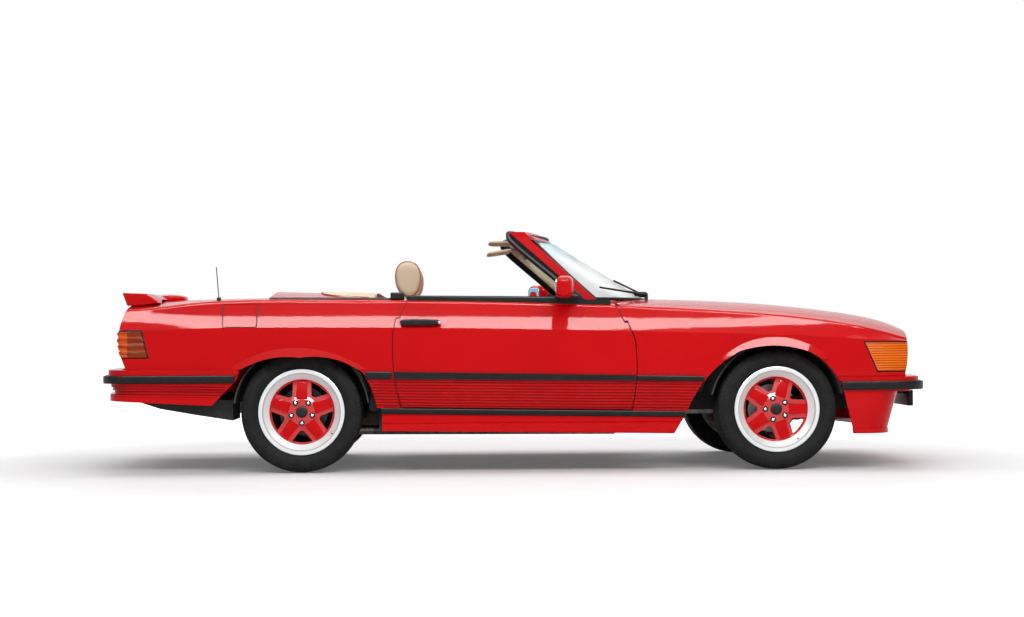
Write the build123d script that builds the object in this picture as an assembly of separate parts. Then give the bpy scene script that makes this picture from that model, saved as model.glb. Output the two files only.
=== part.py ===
from build123d import *
import math
import os
from collections import namedtuple

# Convertible car. Millimetres, +X forward, +Y to the car's left, +Z up, ground at Z = 0.
# Lengths ahead of the rear quarters are set out from the front axle, those behind from the rear axle.

WHEELBASE = 2455.0
FRONT_OVERHANG = 855.0
REAR_OVERHANG = 1080.0
LENGTH = FRONT_OVERHANG + WHEELBASE + REAR_OVERHANG
FRONT_AXLE = LENGTH / 2 - FRONT_OVERHANG
REAR_AXLE = FRONT_AXLE - WHEELBASE
NOSE_TIP = FRONT_AXLE + FRONT_OVERHANG
TAIL_TIP = REAR_AXLE - REAR_OVERHANG
FAR = 4000.0

# Clearances.
SHUT_GAP = 5.0
SEAT_GAP = 0.4
BEARING_GAP = 0.6

# Wheels and running gear.
TYRE_RADIUS = 313.0
TYRE_WIDTH = 225.0
RIM_SEAT = 203.0
RIM_FLANGE = 221.0
RIM_HALF = 104.0
STAR_RADIUS = 167.0
BOOT_FLOOR = 376.0
EXHAUST_ROOF = BOOT_FLOOR - 10.0
PILLAR_FOOT = 866.0
PILLAR_HEAD = 1222.0
HEADER_TOP = 1249.0
TRACK_HALF = 732.5
HUB_HEIGHT = TYRE_RADIUS
STUB_RADIUS = 20.0
DISC_RADIUS = 126.0
BALL_PIN = 9.0
ARCH_GAP = 31.0

# Body shell.
SKIN = 14.0
SHELL_LOW = 290.0
FLAP_THICK = 8.0
RUB_LEVEL = 510.0
CABIN_HALF = 765.0
JAMB_STEP = 16.0
DOOR_SHELL = 868.0
BONNET_HALF = 700.0
LID_HALF = 690.0
LID_REAR_HALF = 520.0
COVER_HALF = 735.0
FLOOR_LOW = 205.0
FLOOR_HIGH = 225.0
TUNNEL_HALF = 150.0
TUNNEL_TOP = 400.0
PANEL = 14.0
DECK = 520.0
STRIP_PROUD = 12.0
BUMPER_TOP = 535.0
BUMPER_HALF = 895.0

SIDE = "side"
PLAN = "plan"
REAR = "rear"


def ahead(distance):
    return FRONT_AXLE + distance


def aft(distance):
    return REAR_AXLE + distance


# Body stations from tail to nose. Columns: place along X, half width at the crease, height of the
# crease, of the shoulder above it, and of the middle of the top.
Station = namedtuple("Station", "x half crease shoulder crown")

STATIONS = [
    Station(aft(-1050), 846, 738, 848, 890),
    Station(aft(-545), 874, 745, 879, 908),
    Station(aft(55), 886, 748, 890, 915),
    Station(aft(755), 890, 742, 882, 915),
    Station(ahead(-1000), 889, 728, 863, 905),
    Station(ahead(-300), 886, 709, 828, 889),
    Station(ahead(200), 880, 690, 783, 854),
    Station(ahead(500), 868, 672, 730, 815),
    Station(ahead(680), 826, 664, 684, 776),
    Station(ahead(800), 745, 650, 664, 712),
]
FOOT_TUCK = 16.0
BELLY = 6.0
NECK = 48.0
SHOULDER_IN = 64.0
SHOULDER_ROUND = 14.0


def station_face(s, inset, low):
    side = s.half - inset
    belly = side + BELLY
    neck = side - NECK
    top = side - SHOULDER_IN - inset * 0.4
    shoulder = max(s.shoulder - inset, s.crease + 8)
    bend = max(s.shoulder - SHOULDER_ROUND - inset * 0.6, s.crease + 4)
    crown = s.crown - inset
    corners = [(belly, RUB_LEVEL), (side, s.crease), (neck, bend), (top, shoulder)]
    middles = [
        ((side + belly) / 2 + 2, (RUB_LEVEL + s.crease) / 2),
        ((side + neck) / 2 - 5, (s.crease + bend) / 2 + 2),
        ((neck + top) / 2 + 2.5, (bend + shoulder) / 2 + 2.5),
    ]
    runs = list(zip(corners, middles, corners[1:]))

    def at(y, z):
        return (s.x, y, z)

    foot = side - FOOT_TUCK
    edges = [Line(at(foot, low), at(-foot, low)), Line(at(-foot, low), at(-belly, RUB_LEVEL))]
    for a, m, b in runs:
        edges.append(ThreePointArc(at(-a[0], a[1]), at(-m[0], m[1]), at(-b[0], b[1])))
    edges.append(ThreePointArc(at(-top, shoulder), at(0, crown), at(top, shoulder)))
    for a, m, b in reversed(runs):
        edges.append(ThreePointArc(at(*b), at(*m), at(*a)))
    edges.append(Line(at(belly, RUB_LEVEL), at(foot, low)))
    return Face(Wire(edges))


def outline(start, *moves):
    """Flat closed face. A move is a point, or a pair of points for an arc through the first."""
    edges = []
    here = start
    for move in list(moves) + [start]:
        if isinstance(move[0], tuple):
            edges.append(ThreePointArc(here, move[0], move[1]))
            here = move[1]
        elif math.dist(move, here) > 1e-6:
            edges.append(Line(here, move))
            here = move
    return Face(Wire(edges))


def prism(view, face, low, high):
    """Extrude a flat outline drawn in side, plan or rear view between two depths."""
    if view == SIDE:
        plane = Plane(origin=(0, high, 0), x_dir=(1, 0, 0), z_dir=(0, -1, 0))
    elif view == PLAN:
        plane = Plane(origin=(0, 0, low), x_dir=(1, 0, 0), z_dir=(0, 0, 1))
    else:
        plane = Plane(origin=(low, 0, 0), x_dir=(0, 1, 0), z_dir=(1, 0, 0))
    return extrude(plane * face, amount=high - low, dir=plane.z_dir)


def grown(face, by):
    return offset(face, amount=by, kind=Kind.INTERSECTION)


def block(x0, x1, y0, y1, z0, z1):
    return Pos((x0 + x1) / 2, (y0 + y1) / 2, (z0 + z1) / 2) * Box(x1 - x0, y1 - y0, z1 - z0)


def mirrored(part):
    return mirror(part, about=Plane.XZ)


def solids_of(*parts):
    result = []
    for part in parts:
        result += list(part.solids())
    return Compound(children=result)


def both(part):
    return solids_of(part, mirrored(part))


def joined(*parts):
    result = parts[0]
    for part in parts[1:]:
        result = result + part
    return result


def largest(part):
    return max(part.solids(), key=lambda solid: solid.volume)


def bar(start, end, radius):
    along = Vector(*end) - Vector(*start)
    plane = Plane(origin=start, z_dir=along.normalized())
    return Solid.make_cylinder(radius, along.length, plane)


def turned(profile):
    """Solid of revolution about the Y axis from (y, radius) points."""
    plane = Plane(origin=(0, 0, 0), x_dir=(0, 1, 0), z_dir=(1, 0, 0))
    return revolve(plane * outline(*profile), axis=Axis.Y)


def spun(profile, centre):
    """Solid of revolution about a vertical axis from (radius, z) points."""
    plane = Plane(origin=(0, 0, 0), x_dir=(1, 0, 0), z_dir=(0, -1, 0))
    return Pos(centre, 0, 0) * revolve(plane * outline(*profile), axis=Axis.Z)


# The whole outer form: stations lofted, then nose and tail bowed in plan and leaned in side view.

NOSE_FACE = ahead(788)
NOSE_BOW = 3300.0
TAIL_FACE = aft(-1000)
TAIL_BOW = 6400.0
FORM_TOP = 1000.0


def nose_cut():
    r = NOSE_BOW
    lean = [(r - 25, 100), (r - 10, 500), ((r + 2, 600), (r - 6, 690)), (r - 60, FORM_TOP)]
    return spun([(0.1, 100)] + lean + [(0.1, FORM_TOP)], NOSE_FACE - r)


def tail_cut():
    r = TAIL_BOW
    lean = [(r - 45, 100), (r - 45, 546), ((r - 15, 735), (r - 70, 870)), (r - 140, FORM_TOP)]
    return spun([(0.1, 100)] + lean + [(0.1, FORM_TOP)], TAIL_FACE + r)


def body_form(inset):
    low = SHELL_LOW if inset == 0 else SHELL_LOW - 40
    form = loft([station_face(s, inset, low) for s in STATIONS])
    return form & (Pos(-inset, 0, 0) * nose_cut()) & (Pos(inset, 0, 0) * tail_cut())


OUTER = body_form(0)
SKINNED = OUTER - body_form(SKIN)


# Lines that slope gently down towards the nose along the side: heights at a place along X.

def sill_line(x):
    return 334 - 0.016 * (x - aft(405))


def rub_top(x):
    return 521 - 0.019 * (x - aft(339))


def rub_low(x):
    return 483 - 0.0121 * (x - aft(339))


def below(line):
    face = outline((-FAR, 0), (FAR, 0), (FAR, line(FAR)), (-FAR, line(-FAR)))
    return prism(SIDE, face, -FAR / 2, FAR / 2)


def between(x0, x1, low, high, y0, y1):
    face = outline((x0, low(x0)), (x1, low(x1)), (x1, high(x1)), (x0, high(x0)))
    return prism(SIDE, face, y0, y1)


DOOR_FACE = outline(
    (ahead(-870), 960),
    ((ahead(-788), 800), (ahead(-738), 675)),
    ((ahead(-730), 540), (ahead(-763), 290)),
    (aft(527), 290),
    ((aft(481), 480), (aft(470), 656)),
    ((aft(483), 775), (aft(540), 900)),
    (aft(555), 960),
)
FRONT_ARCH = outline(
    (ahead(-490), 100),
    (ahead(-480), 278),
    ((ahead(-360), 490), (ahead(-199), 615)),
    ((ahead(-18), 643), (ahead(163), 608)),
    ((ahead(278), 517), (ahead(348), 360)),
    (ahead(388), 195),
    (ahead(388), 100),
)
REAR_ARCH = outline(
    (aft(-525), 100),
    (aft(-451), 350),
    (aft(-325), 480),
    (aft(-308), 533),
    ((aft(-155), 590), (aft(-2), 593)),
    ((aft(202), 576), (aft(319), 514)),
    ((aft(363), 426), (aft(390), 334)),
    (aft(415), 100),
)
LAMP_FACE = outline((ahead(444), 662), (ahead(515), 503), (FAR, 503), (FAR, 662))
REAR_LAMP_FACE = outline((-FAR, 592), (aft(-775), 592), (aft(-810), 738), (-FAR, 738))
LAMP_INNER = 420.0
LAMP_SEAT = 0.8
LID_FRONT = aft(-203)
LID_LOW = 560.0
LID_STEP = 752.0
COVER_REAR = aft(-165)
COVER_FRONT = aft(378)
BONNET_EDGE = 669.0
BONNET_REAR = ahead(-700)
FLAP_FACE = outline(
    (aft(-398), 868),
    (aft(-398), 764),
    ((aft(-394.5), 755.5), (aft(-386), 752)),
    (aft(-238), 752),
    ((aft(-229.5), 755.5), (aft(-226), 764)),
    (aft(-226), 868),
)


def bonnet_face(by):
    half = BONNET_HALF + by
    rear = BONNET_REAR - by
    return outline((rear, -half), (FAR, -half), (FAR, half), (rear, half), ((rear + 145, 0), (rear, -half)))


def lid_region(by, front):
    half = LID_HALF + by
    rear = LID_REAR_HALF + by
    step = LID_STEP - by
    low = LID_LOW - by
    high = FORM_TOP
    face = outline(
        (-rear, low),
        (rear, low),
        (rear, step),
        (half, step),
        (half, high),
        (-half, high),
        (-half, step),
        (-rear, step),
    )
    return prism(REAR, face, -FAR, front)


# Raised brows over the wheel openings: a cone that stands out most at the opening's edge.
# Columns: middle along X, height of the cone's axis, radius of the brow's upper edge, its height.
Brow = namedtuple("Brow", "x z radius tall")

FRONT_BROW = Brow(ahead(-17), 251, 435, 46)
REAR_BROW = Brow(aft(-2), -16, 664, 60)
BROW_OUT = 911.0
BROW_IN = 872.0


def brow(shape, arch):
    rim = shape.radius - shape.tall
    slope = [(-BROW_IN, shape.radius), (-BROW_IN - 16, shape.radius), (-BROW_OUT, rim)]
    cone = turned(slope + [(-BROW_OUT, 200), (-BROW_IN, 200)])
    raised = Pos(shape.x, 0, shape.z) * cone
    reach = math.sqrt(shape.radius**2 - (shape.radius - 100) ** 2)
    raised = raised & block(shape.x - reach, shape.x + reach, -1000, -800, shape.z + shape.radius - 115, 900)
    return raised - prism(SIDE, arch, -1000, 1000)


def door_right():
    shell = prism(SIDE, grown(DOOR_FACE, -SHUT_GAP / 2), -1000, -DOOR_SHELL)
    inner = prism(SIDE, grown(DOOR_FACE, -SHUT_GAP / 2 - JAMB_STEP), -DOOR_SHELL, -CABIN_HALF)
    foot = below(lambda x: sill_line(x) + SHUT_GAP)
    return largest((OUTER & (shell + inner)) - foot)


def fender_right():
    half = BONNET_HALF + SHUT_GAP / 2
    shell = SKINNED & block(ahead(-900), FAR, -1000, -half, 200, FORM_TOP)
    shell = shell + brow(FRONT_BROW, FRONT_ARCH)
    shell = shell - prism(SIDE, grown(DOOR_FACE, SHUT_GAP / 2), -1000, 0)
    shell = shell - block(ahead(-960), ahead(-780), -1000, 0, 200, 850)
    shell = shell - prism(SIDE, FRONT_ARCH, -1000, 0)
    shell = shell - block(ahead(265), FAR, -1000, 0, 200, 480 + SEAT_GAP)
    shell = shell - prism(SIDE, grown(LAMP_FACE, LAMP_SEAT), -1000, 0)
    return largest(shell - below(sill_line))


def front_lamp_right():
    lamp = OUTER & prism(SIDE, LAMP_FACE, -1000, -LAMP_INNER)
    return largest(lamp - block(0, ahead(660), -790, 0, 300, 900))


def tail_lamp_right():
    lamp = OUTER & prism(SIDE, REAR_LAMP_FACE, -1000, -LID_REAR_HALF - 20)
    return largest(lamp - block(aft(-905), 0, -800, 0, 300, 900))


def bonnet():
    return largest(SKINNED & prism(PLAN, bonnet_face(-SHUT_GAP / 2), BONNET_EDGE, FORM_TOP))


def boot_lid():
    return largest(SKINNED & lid_region(-SHUT_GAP / 2, LID_FRONT))


def flap_pocket():
    """Shallow recess in the skin that the fuel flap closes into."""
    return prism(SIDE, grown(FLAP_FACE, 3), -1000, -700) - body_form(FLAP_THICK + SEAT_GAP)


def rear_body():
    shell = SKINNED & block(-FAR, aft(620), -1000, 1000, 200, FORM_TOP)
    shell = shell - lid_region(SHUT_GAP / 2, LID_FRONT + SHUT_GAP)
    shell = shell + brow(REAR_BROW, REAR_ARCH) + mirrored(brow(REAR_BROW, REAR_ARCH))
    shell = shell - prism(SIDE, grown(DOOR_FACE, SHUT_GAP / 2), -1000, 1000)
    shell = shell - prism(SIDE, REAR_ARCH, -1000, 1000)
    shell = shell - block(COVER_REAR - SHUT_GAP, 0, -COVER_HALF - 6, COVER_HALF + 6, 700, FORM_TOP)
    lamp = grown(REAR_LAMP_FACE, LAMP_SEAT)
    edge = LID_REAR_HALF + 20 - LAMP_SEAT
    shell = shell - prism(SIDE, lamp, edge, 1000) - prism(SIDE, lamp, -1000, -edge)
    shell = shell - block(-FAR, aft(-300), -1000, 1000, 200, BUMPER_TOP + SEAT_GAP)
    return largest(shell - below(sill_line) - flap_pocket())


def fuel_flap():
    leaf = OUTER & prism(SIDE, FLAP_FACE, -1000, -700)
    return largest(leaf - body_form(FLAP_THICK))


def soft_top_cover():
    half = COVER_HALF

    def slab(x, edge, crown, inset):
        wide = half - inset
        arch = ((0, crown - inset), (-wide, edge - inset))
        face = outline((-wide, 888 - inset), (wide, 888 - inset), (wide, edge - inset), arch)
        return Plane(origin=(x, 0, 0), x_dir=(0, 1, 0), z_dir=(1, 0, 0)) * face

    outer = loft([slab(COVER_REAR, 905, 949, 0), slab(COVER_FRONT, 897, 930, 0)], ruled=True)
    inner = loft([slab(COVER_REAR + 14, 905, 949, 12), slab(COVER_FRONT - 14, 897, 930, 12)], ruled=True)
    return outer - inner


# Windscreen: glass and frame stand between two bowed lines, low on the cowl and high at the header.
# Columns: height, place of the ends, half width, place of the middle.
Bow = namedtuple("Bow", "z ends half middle")

SCREEN_LOW = Bow(893, ahead(-936), 640, ahead(-604))
SCREEN_HIGH = Bow(1226, ahead(-1280), 562, ahead(-1148))
COWL_HOLE = Bow(866, ahead(-950), 622, ahead(-598))
BONNET_BOW = Bow(866, BONNET_REAR, BONNET_HALF, BONNET_REAR + 145)
GLASS = 6.0


def crescent(bow, wider, forward, deep_ends, deep_middle):
    half = bow.half + wider
    face = outline(
        (bow.ends + forward, -half),
        ((bow.middle + forward, 0), (bow.ends + forward, half)),
        (bow.ends - deep_ends, half),
        ((bow.middle - deep_middle, 0), (bow.ends - deep_ends, -half)),
    )
    return Pos(0, 0, bow.z) * face


def pane(gap):
    """Glass grown by a gap all round; the slope turns a gap into three times as much along X."""
    run = gap * 3
    low = SCREEN_LOW._replace(z=SCREEN_LOW.z - gap)
    high = SCREEN_HIGH._replace(z=SCREEN_HIGH.z + gap)
    ends = [crescent(bow, gap, run, GLASS * 1.5 + run, GLASS + run) for bow in (low, high)]
    return loft(ends, ruled=True)


def bowed(bow, y):
    """Place along X of a bowed line at a distance from the middle."""
    deep = bow.middle - bow.ends
    radius = (bow.half**2 + deep**2) / (2 * deep)
    return bow.middle - radius + math.sqrt(radius**2 - y**2)


def screen_x(y, z):
    share = (z - SCREEN_LOW.z) / (SCREEN_HIGH.z - SCREEN_LOW.z)
    return bowed(SCREEN_LOW, y) * (1 - share) + bowed(SCREEN_HIGH, y) * share


def pillar_right():
    foot = outline((ahead(-990), -680), (ahead(-905), -680), (ahead(-890), -630), (ahead(-975), -622))
    head = outline((ahead(-1390), -600), (ahead(-1284), -600), (ahead(-1268), -552), (ahead(-1370), -546))
    return loft([Pos(0, 0, PILLAR_FOOT) * foot, Pos(0, 0, PILLAR_HEAD) * head], ruled=True)


def header():
    low = crescent(SCREEN_HIGH._replace(z=1206), 30, 30, 95, 120)
    brow = SCREEN_HIGH._replace(z=HEADER_TOP, ends=SCREEN_HIGH.ends - 42, middle=SCREEN_HIGH.middle - 60)
    high = crescent(brow, 24, 24, 58, 72)
    return loft([low, high], ruled=True)


def screen_frame():
    half = BONNET_HALF + SHUT_GAP / 2 - SEAT_GAP
    cowl = SKINNED & block(ahead(-960), BONNET_REAR + 300, -half, half, 700, FORM_TOP)
    cowl = cowl - prism(PLAN, bonnet_face(SHUT_GAP / 2), 600, 1100)
    hole = COWL_HOLE
    back = hole.ends - 50
    bow = ((hole.middle, 0), (hole.ends, hole.half))
    face = outline((back, -hole.half), (hole.ends, -hole.half), bow, (back, hole.half))
    cowl = cowl - prism(PLAN, face, 600, 1100)
    return joined(cowl, pillar_right(), mirrored(pillar_right()), header()) - pane(SEAT_GAP)


# Bumpers: a belt bowed round each end, drawn in plan. Reach is where it ends along the side.

def front_belt(half, tip, reach):
    return outline(
        (reach, -half),
        (tip - 235, -half),
        ((tip - 125, -half + 45), (tip - 75, -half + 165)),
        ((tip, 0), (tip - 75, half - 165)),
        ((tip - 125, half - 45), (tip - 235, half)),
        (reach, half),
    )


def rear_belt(half, tip, reach):
    return outline(
        (reach, half),
        (tip + 185, half),
        ((tip + 100, half - 35), (tip + 60, half - 130)),
        ((tip, 0), (tip + 60, -half + 130)),
        ((tip + 100, -half + 35), (tip + 185, -half)),
        (reach, -half),
    )


FRONT_REACH = ahead(300)
REAR_REACH = aft(-315)
APRON_TOP = 411.0
APRON_LOW = 187.0
APRON_THICK = 10.0


def belt(shape, half, tip, reach, low, high):
    return prism(PLAN, shape(half, tip, reach), low, high)


def apron(inset):
    reach = FRONT_REACH + 20
    high = Pos(0, 0, APRON_TOP + inset) * front_belt(BUMPER_HALF - 8 - inset, NOSE_TIP - 130 - inset, reach)
    low = Pos(0, 0, APRON_LOW - inset) * front_belt(BUMPER_HALF - 14 - inset, NOSE_TIP - 190 - inset, reach)
    return loft([low, high], ruled=True)


def front_bumper():
    tip = NOSE_TIP
    ledge = belt(front_belt, BUMPER_HALF - 2, tip - 22, FRONT_REACH, 457, 480)
    core = belt(front_belt, BUMPER_HALF - 15, tip - 45, FRONT_REACH, APRON_TOP, 457)
    core = ledge + core - belt(front_belt, 850, tip - 72, 0, 300, 600)
    core = core - (OUTER & block(ahead(600), FAR, -900, 900, 200, 600))

    lip = belt(front_belt, BUMPER_HALF - 4, tip - 182, FRONT_REACH, APRON_LOW, 212)
    lip = lip - belt(front_belt, BUMPER_HALF - 40, tip - 215, 0, 100, 300)
    shelf = belt(front_belt, BUMPER_HALF - 16, tip - 132, FRONT_REACH + 20, APRON_TOP - 8, APRON_TOP)
    shelf = shelf - belt(front_belt, 850, tip - 172, 0, 300, 600)
    skirt = apron(0) - apron(APRON_THICK) + lip + shelf
    whole = core + skirt + belt(front_belt, BUMPER_HALF - 16, tip - 60, ahead(500), APRON_TOP - 8, APRON_TOP)
    whole = whole - belt(front_belt, 850, tip - 172, 0, 300, APRON_TOP)
    return largest(whole - prism(SIDE, grown(FRONT_ARCH, 2), -1000, 1000))


def rear_bumper_inside(gap):
    return belt(rear_belt, BUMPER_HALF - 45 - gap, TAIL_TIP + 85 + gap, 0, 300, 600)


def rear_bumper():
    tip = TAIL_TIP
    parts = [belt(rear_belt, BUMPER_HALF + 4, tip + 25, REAR_REACH, 506, BUMPER_TOP)]
    parts.append(belt(rear_belt, BUMPER_HALF - 7, tip + 42, REAR_REACH, 464, 506))
    # Ribs below the strip step inward, then a lip stands out at the bottom edge.
    for k in range(3):
        high = 464 - k * 17
        parts.append(belt(rear_belt, BUMPER_HALF - 6 * k, tip + 38 + 8 * k, REAR_REACH, high - 17, high))
    parts.append(belt(rear_belt, BUMPER_HALF + 2, tip + 34, REAR_REACH, 340, 413))
    whole = joined(*parts) - rear_bumper_inside(0)
    floor = outline((-FAR, 300), (0, 300), (0, 350), (aft(-451), 350), (TAIL_TIP, 382), (-FAR, 382))
    return largest(whole - prism(SIDE, floor, -1000, 1000) - prism(SIDE, grown(REAR_ARCH, 2), -1000, 1000))


def front_strip():
    outer = belt(front_belt, BUMPER_HALF + 10, NOSE_TIP, FRONT_REACH + 25, APRON_TOP + 1, 456)
    return outer - belt(front_belt, BUMPER_HALF - 15 + SEAT_GAP, NOSE_TIP - 45 + SEAT_GAP, 0, 300, 600)


def rear_strip():
    outer = belt(rear_belt, BUMPER_HALF + 15, TAIL_TIP, REAR_REACH - 20, 465, 505)
    return outer - belt(rear_belt, BUMPER_HALF - 7 + SEAT_GAP, TAIL_TIP + 42 - SEAT_GAP, 0, 300, 600)


def rub_strip(x0, x1):
    return largest(between(x0, x1, rub_low, rub_top, -BUMPER_HALF - STRIP_PROUD, -850) - OUTER)


def sill_strip():
    top = 0.6
    low = top + 30
    ends = (aft(409), ahead(-484))
    return between(*ends, lambda x: sill_line(x) - low, lambda x: sill_line(x) - top, -898, -852)


def plate_plinth():
    face = NOSE_TIP - 10
    plate = block(face - 30, face, -262, 262, 305, 392)
    return plate + block(NOSE_TIP - 74, face - 20, -180, 180, 370, APRON_TOP - 8)


def body_strips():
    sides = [rub_strip(aft(329), aft(466)), rub_strip(ahead(-732), ahead(-385)), sill_strip()]
    pieces = [front_strip(), rear_strip(), plate_plinth()]
    for side in sides:
        pieces += [side, mirrored(side)]
    return solids_of(*pieces)


def sill_right():
    section = outline(
        (-772, 180),
        (-862, 180),
        ((-882, 188), (-888, 210)),
        (-889, 240),
        (-884, 246),
        (-884, 252),
        (-889, 258),
        (-886, 320),
        (-772, 320),
    )
    back, front = aft(415), ahead(-488)
    corner = (front, sill_line(front) - 31)
    face = outline((back, 216), (ahead(-540), 194), corner, (back, sill_line(back) - 31))
    lower = prism(REAR, section, aft(415), ahead(-480)) & prism(SIDE, face, -900, -700)
    lip = block(aft(460), ahead(-800), -CABIN_HALF + SEAT_GAP, -CABIN_HALF + 8, 270, 372)
    web = block(aft(460), ahead(-800), -790, -CABIN_HALF + 8, 262, sill_line(ahead(-800)) - 32)
    return lower + lip + web


# Wheels. Local frame: axis along Y, outer face towards +Y.

def tyre():
    out = TYRE_WIDTH / 2
    crown = TYRE_RADIUS - 4
    bead = RIM_SEAT + SEAT_GAP
    return turned(
        [
            (-98, bead),
            (-98, 222),
            ((-out - 2, 258), (-out + 3, 292)),
            ((-out + 8, 304), (-out + 24, crown)),
            ((0, TYRE_RADIUS), (out - 24, crown)),
            ((out - 8, 304), (out - 3, 292)),
            ((out + 2, 258), (98, 222)),
            (98, bead),
            (84, bead),
            (86, 222),
            ((98, 262), (88, 290)),
            ((0, 300), (-88, 290)),
            ((-98, 262), (-86, 222)),
            (-84, bead),
        ]
    )


def wheel_window():
    near, far = 96.0, 157.0
    rim_side = ((far + 1, 0), (far - 6, 52))
    face = outline((near, -8), (near + 6, -14), (far - 6, -52), rim_side, (near + 6, 14), (near, 8))
    return prism(SIDE, face, -200, 200)


def rim():
    barrel = turned(
        [
            (-RIM_HALF, 195),
            (RIM_HALF - 12, 195),
            (RIM_HALF - 6, 199),
            (RIM_HALF + 2, 202),
            (RIM_HALF + 4, RIM_FLANGE - 3),
            (RIM_HALF + 2, RIM_FLANGE),
            (RIM_HALF - 3, RIM_FLANGE),
            (RIM_HALF - 4, RIM_SEAT),
            (-RIM_HALF + 4, RIM_SEAT),
            (-RIM_HALF + 3, RIM_FLANGE),
            (-RIM_HALF - 4, RIM_FLANGE),
        ]
    )
    bore = STUB_RADIUS + BEARING_GAP
    star = turned(
        [
            (34, bore),
            (76, bore),
            (78, 26),
            (76, 66),
            (66, 84),
            (50, STAR_RADIUS - 6),
            (58, STAR_RADIUS),
            (88, 197),
            (70, 197),
            (44, 176),
            (28, 150),
            (40, 70),
        ]
    )
    for k in range(5):
        way = Rot(0, 72 * k + 18, 0)
        star = star - way * wheel_window() - way * bar((56, 62, 0), (56, 90, 0), 13)
    hub = turned(
        [
            (-78, bore),
            (36, bore),
            (38, 70),
            (-30, 72),
            (-52, 72),
            (-54, DISC_RADIUS),
            (-76, DISC_RADIUS),
            (-78, 60),
        ]
    )
    return barrel + star + hub


def placed(part, x, side):
    turn = 18.0 if x == FRONT_AXLE else 0.0
    part = Rot(0, turn, 0) * part
    if side < 0:
        part = mirrored(part)
    return Pos(x, side * TRACK_HALF, HUB_HEIGHT) * part


def knuckle_right():
    x = FRONT_AXLE
    y = -TRACK_HALF
    z = HUB_HEIGHT
    parts = [bar((x, y + 100, z), (x, y - 34, z), STUB_RADIUS)]
    parts.append(block(x - 28, x + 28, y + 86, y + 112, z - 152, z + 152))
    for way in (-1, 1):
        parts.append(block(x - 16, x + 16, y - 16, y + 90, z + way * 143 - 9, z + way * 143 + 9))
    parts.append(block(x - 130, x - 20, y + 94, y + 112, z - 70, z - 50))
    parts.append(block(x + 26, x + 70, y + 86, y + 104, z - 30, z + 30))
    caliper = block(x + 84, x + 142, y + 40, y + 92, z - 62, z + 62)
    caliper = caliper - turned_at(x, y + 64, z, DISC_RADIUS + 5, 17)
    upright = joined(*parts) - bar((x, y, z - 200), (x, y, z - 120), BALL_PIN + BEARING_GAP)
    upright = upright - bar((x, y, z + 120), (x, y, z + 200), BALL_PIN + BEARING_GAP)
    return upright + (caliper + block(x + 60, x + 90, y + 86, y + 104, z - 30, z + 30))


def turned_at(x, y, z, radius, half):
    return bar((x, y - half, z), (x, y + half, z), radius)


def front_suspension():
    x = FRONT_AXLE
    y = -TRACK_HALF
    z = HUB_HEIGHT
    whole = block(x - 60, x + 60, -360, 360, 200, 262)
    for way in (-1, 1):
        mid = z + way * 168
        rod = block(x - 11, x + 11, y - 11, y + 150, mid - 8, mid + 8)
        arms = outline((x - 11, y + 140), (x + 11, y + 140), (x + 90, -340), (x - 90, -340))
        wish = prism(PLAN, arms, mid - 8, mid + 8)
        pin = bar((x, y, mid), (x, y, z + way * 138), BALL_PIN)
        for piece in (rod, wish, pin):
            whole = whole + piece + mirrored(piece)
    tower = block(x - 95, x + 95, -RAIL_MID + 25, -330, 136, 500)
    foot = block(x - 40, x + 40, -220, -160, 260, 270 - SEAM)
    return joined(whole, tower, mirrored(tower), foot, mirrored(foot))


RAIL_MID = 430.0


def rear_axle():
    x = REAR_AXLE
    y = -TRACK_HALF
    z = HUB_HEIGHT
    whole = block(x - 90, x + 170, -520, 520, 240, 300) + block(x - 170, x + 120, -110, 110, 225, 400)
    pieces = [bar((x, -60, z), (x, y + 90, z), 24)]
    pieces.append(bar((x, y + 100, z), (x, y - 34, z), STUB_RADIUS))
    pieces.append(block(x - 60, x + 60, y + 84, y + 140, z - 90, z + 60))
    pieces.append(block(x - 30, x + 370, y + 122, y + 180, 235, 275))
    pieces.append(block(x + 330, CABIN_REAR - 20 - SEAM, y + 122, y + 180, 235, 300))
    pieces.append(block(x - 60, x - 20, -500, -460, 290, DECK - 20 - SEAM))
    for piece in pieces:
        whole = whole + piece + mirrored(piece)
    return whole


# Underbody: pressed panels laid edge to edge with a fine seam between them.

FIREWALL = ahead(-740)
CABIN_REAR = aft(415)
SEAM = 0.4
FLOOR_HALF = 772.0
ROOF_HALF = 848.0


def wheelhouse(x, inner, low):
    """Roof and inner wall of a wheel housing on the left side, about the wheel's axis."""
    near = TYRE_RADIUS + ARCH_GAP
    outer = near + 6
    room = block(x - 400, x + 400, 0, 900, low, 700)
    band = [(inner, near), (ROOF_HALF, near), (ROOF_HALF, outer), (inner, outer)]
    roof = Pos(x, 0, HUB_HEIGHT) * turned(band)
    sheet = [(inner, 0.1), (inner + 6, 0.1), (inner + 6, outer), (inner, outer)]
    disc = Pos(x, 0, HUB_HEIGHT) * turned(sheet)
    return roof & room, disc & room


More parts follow.
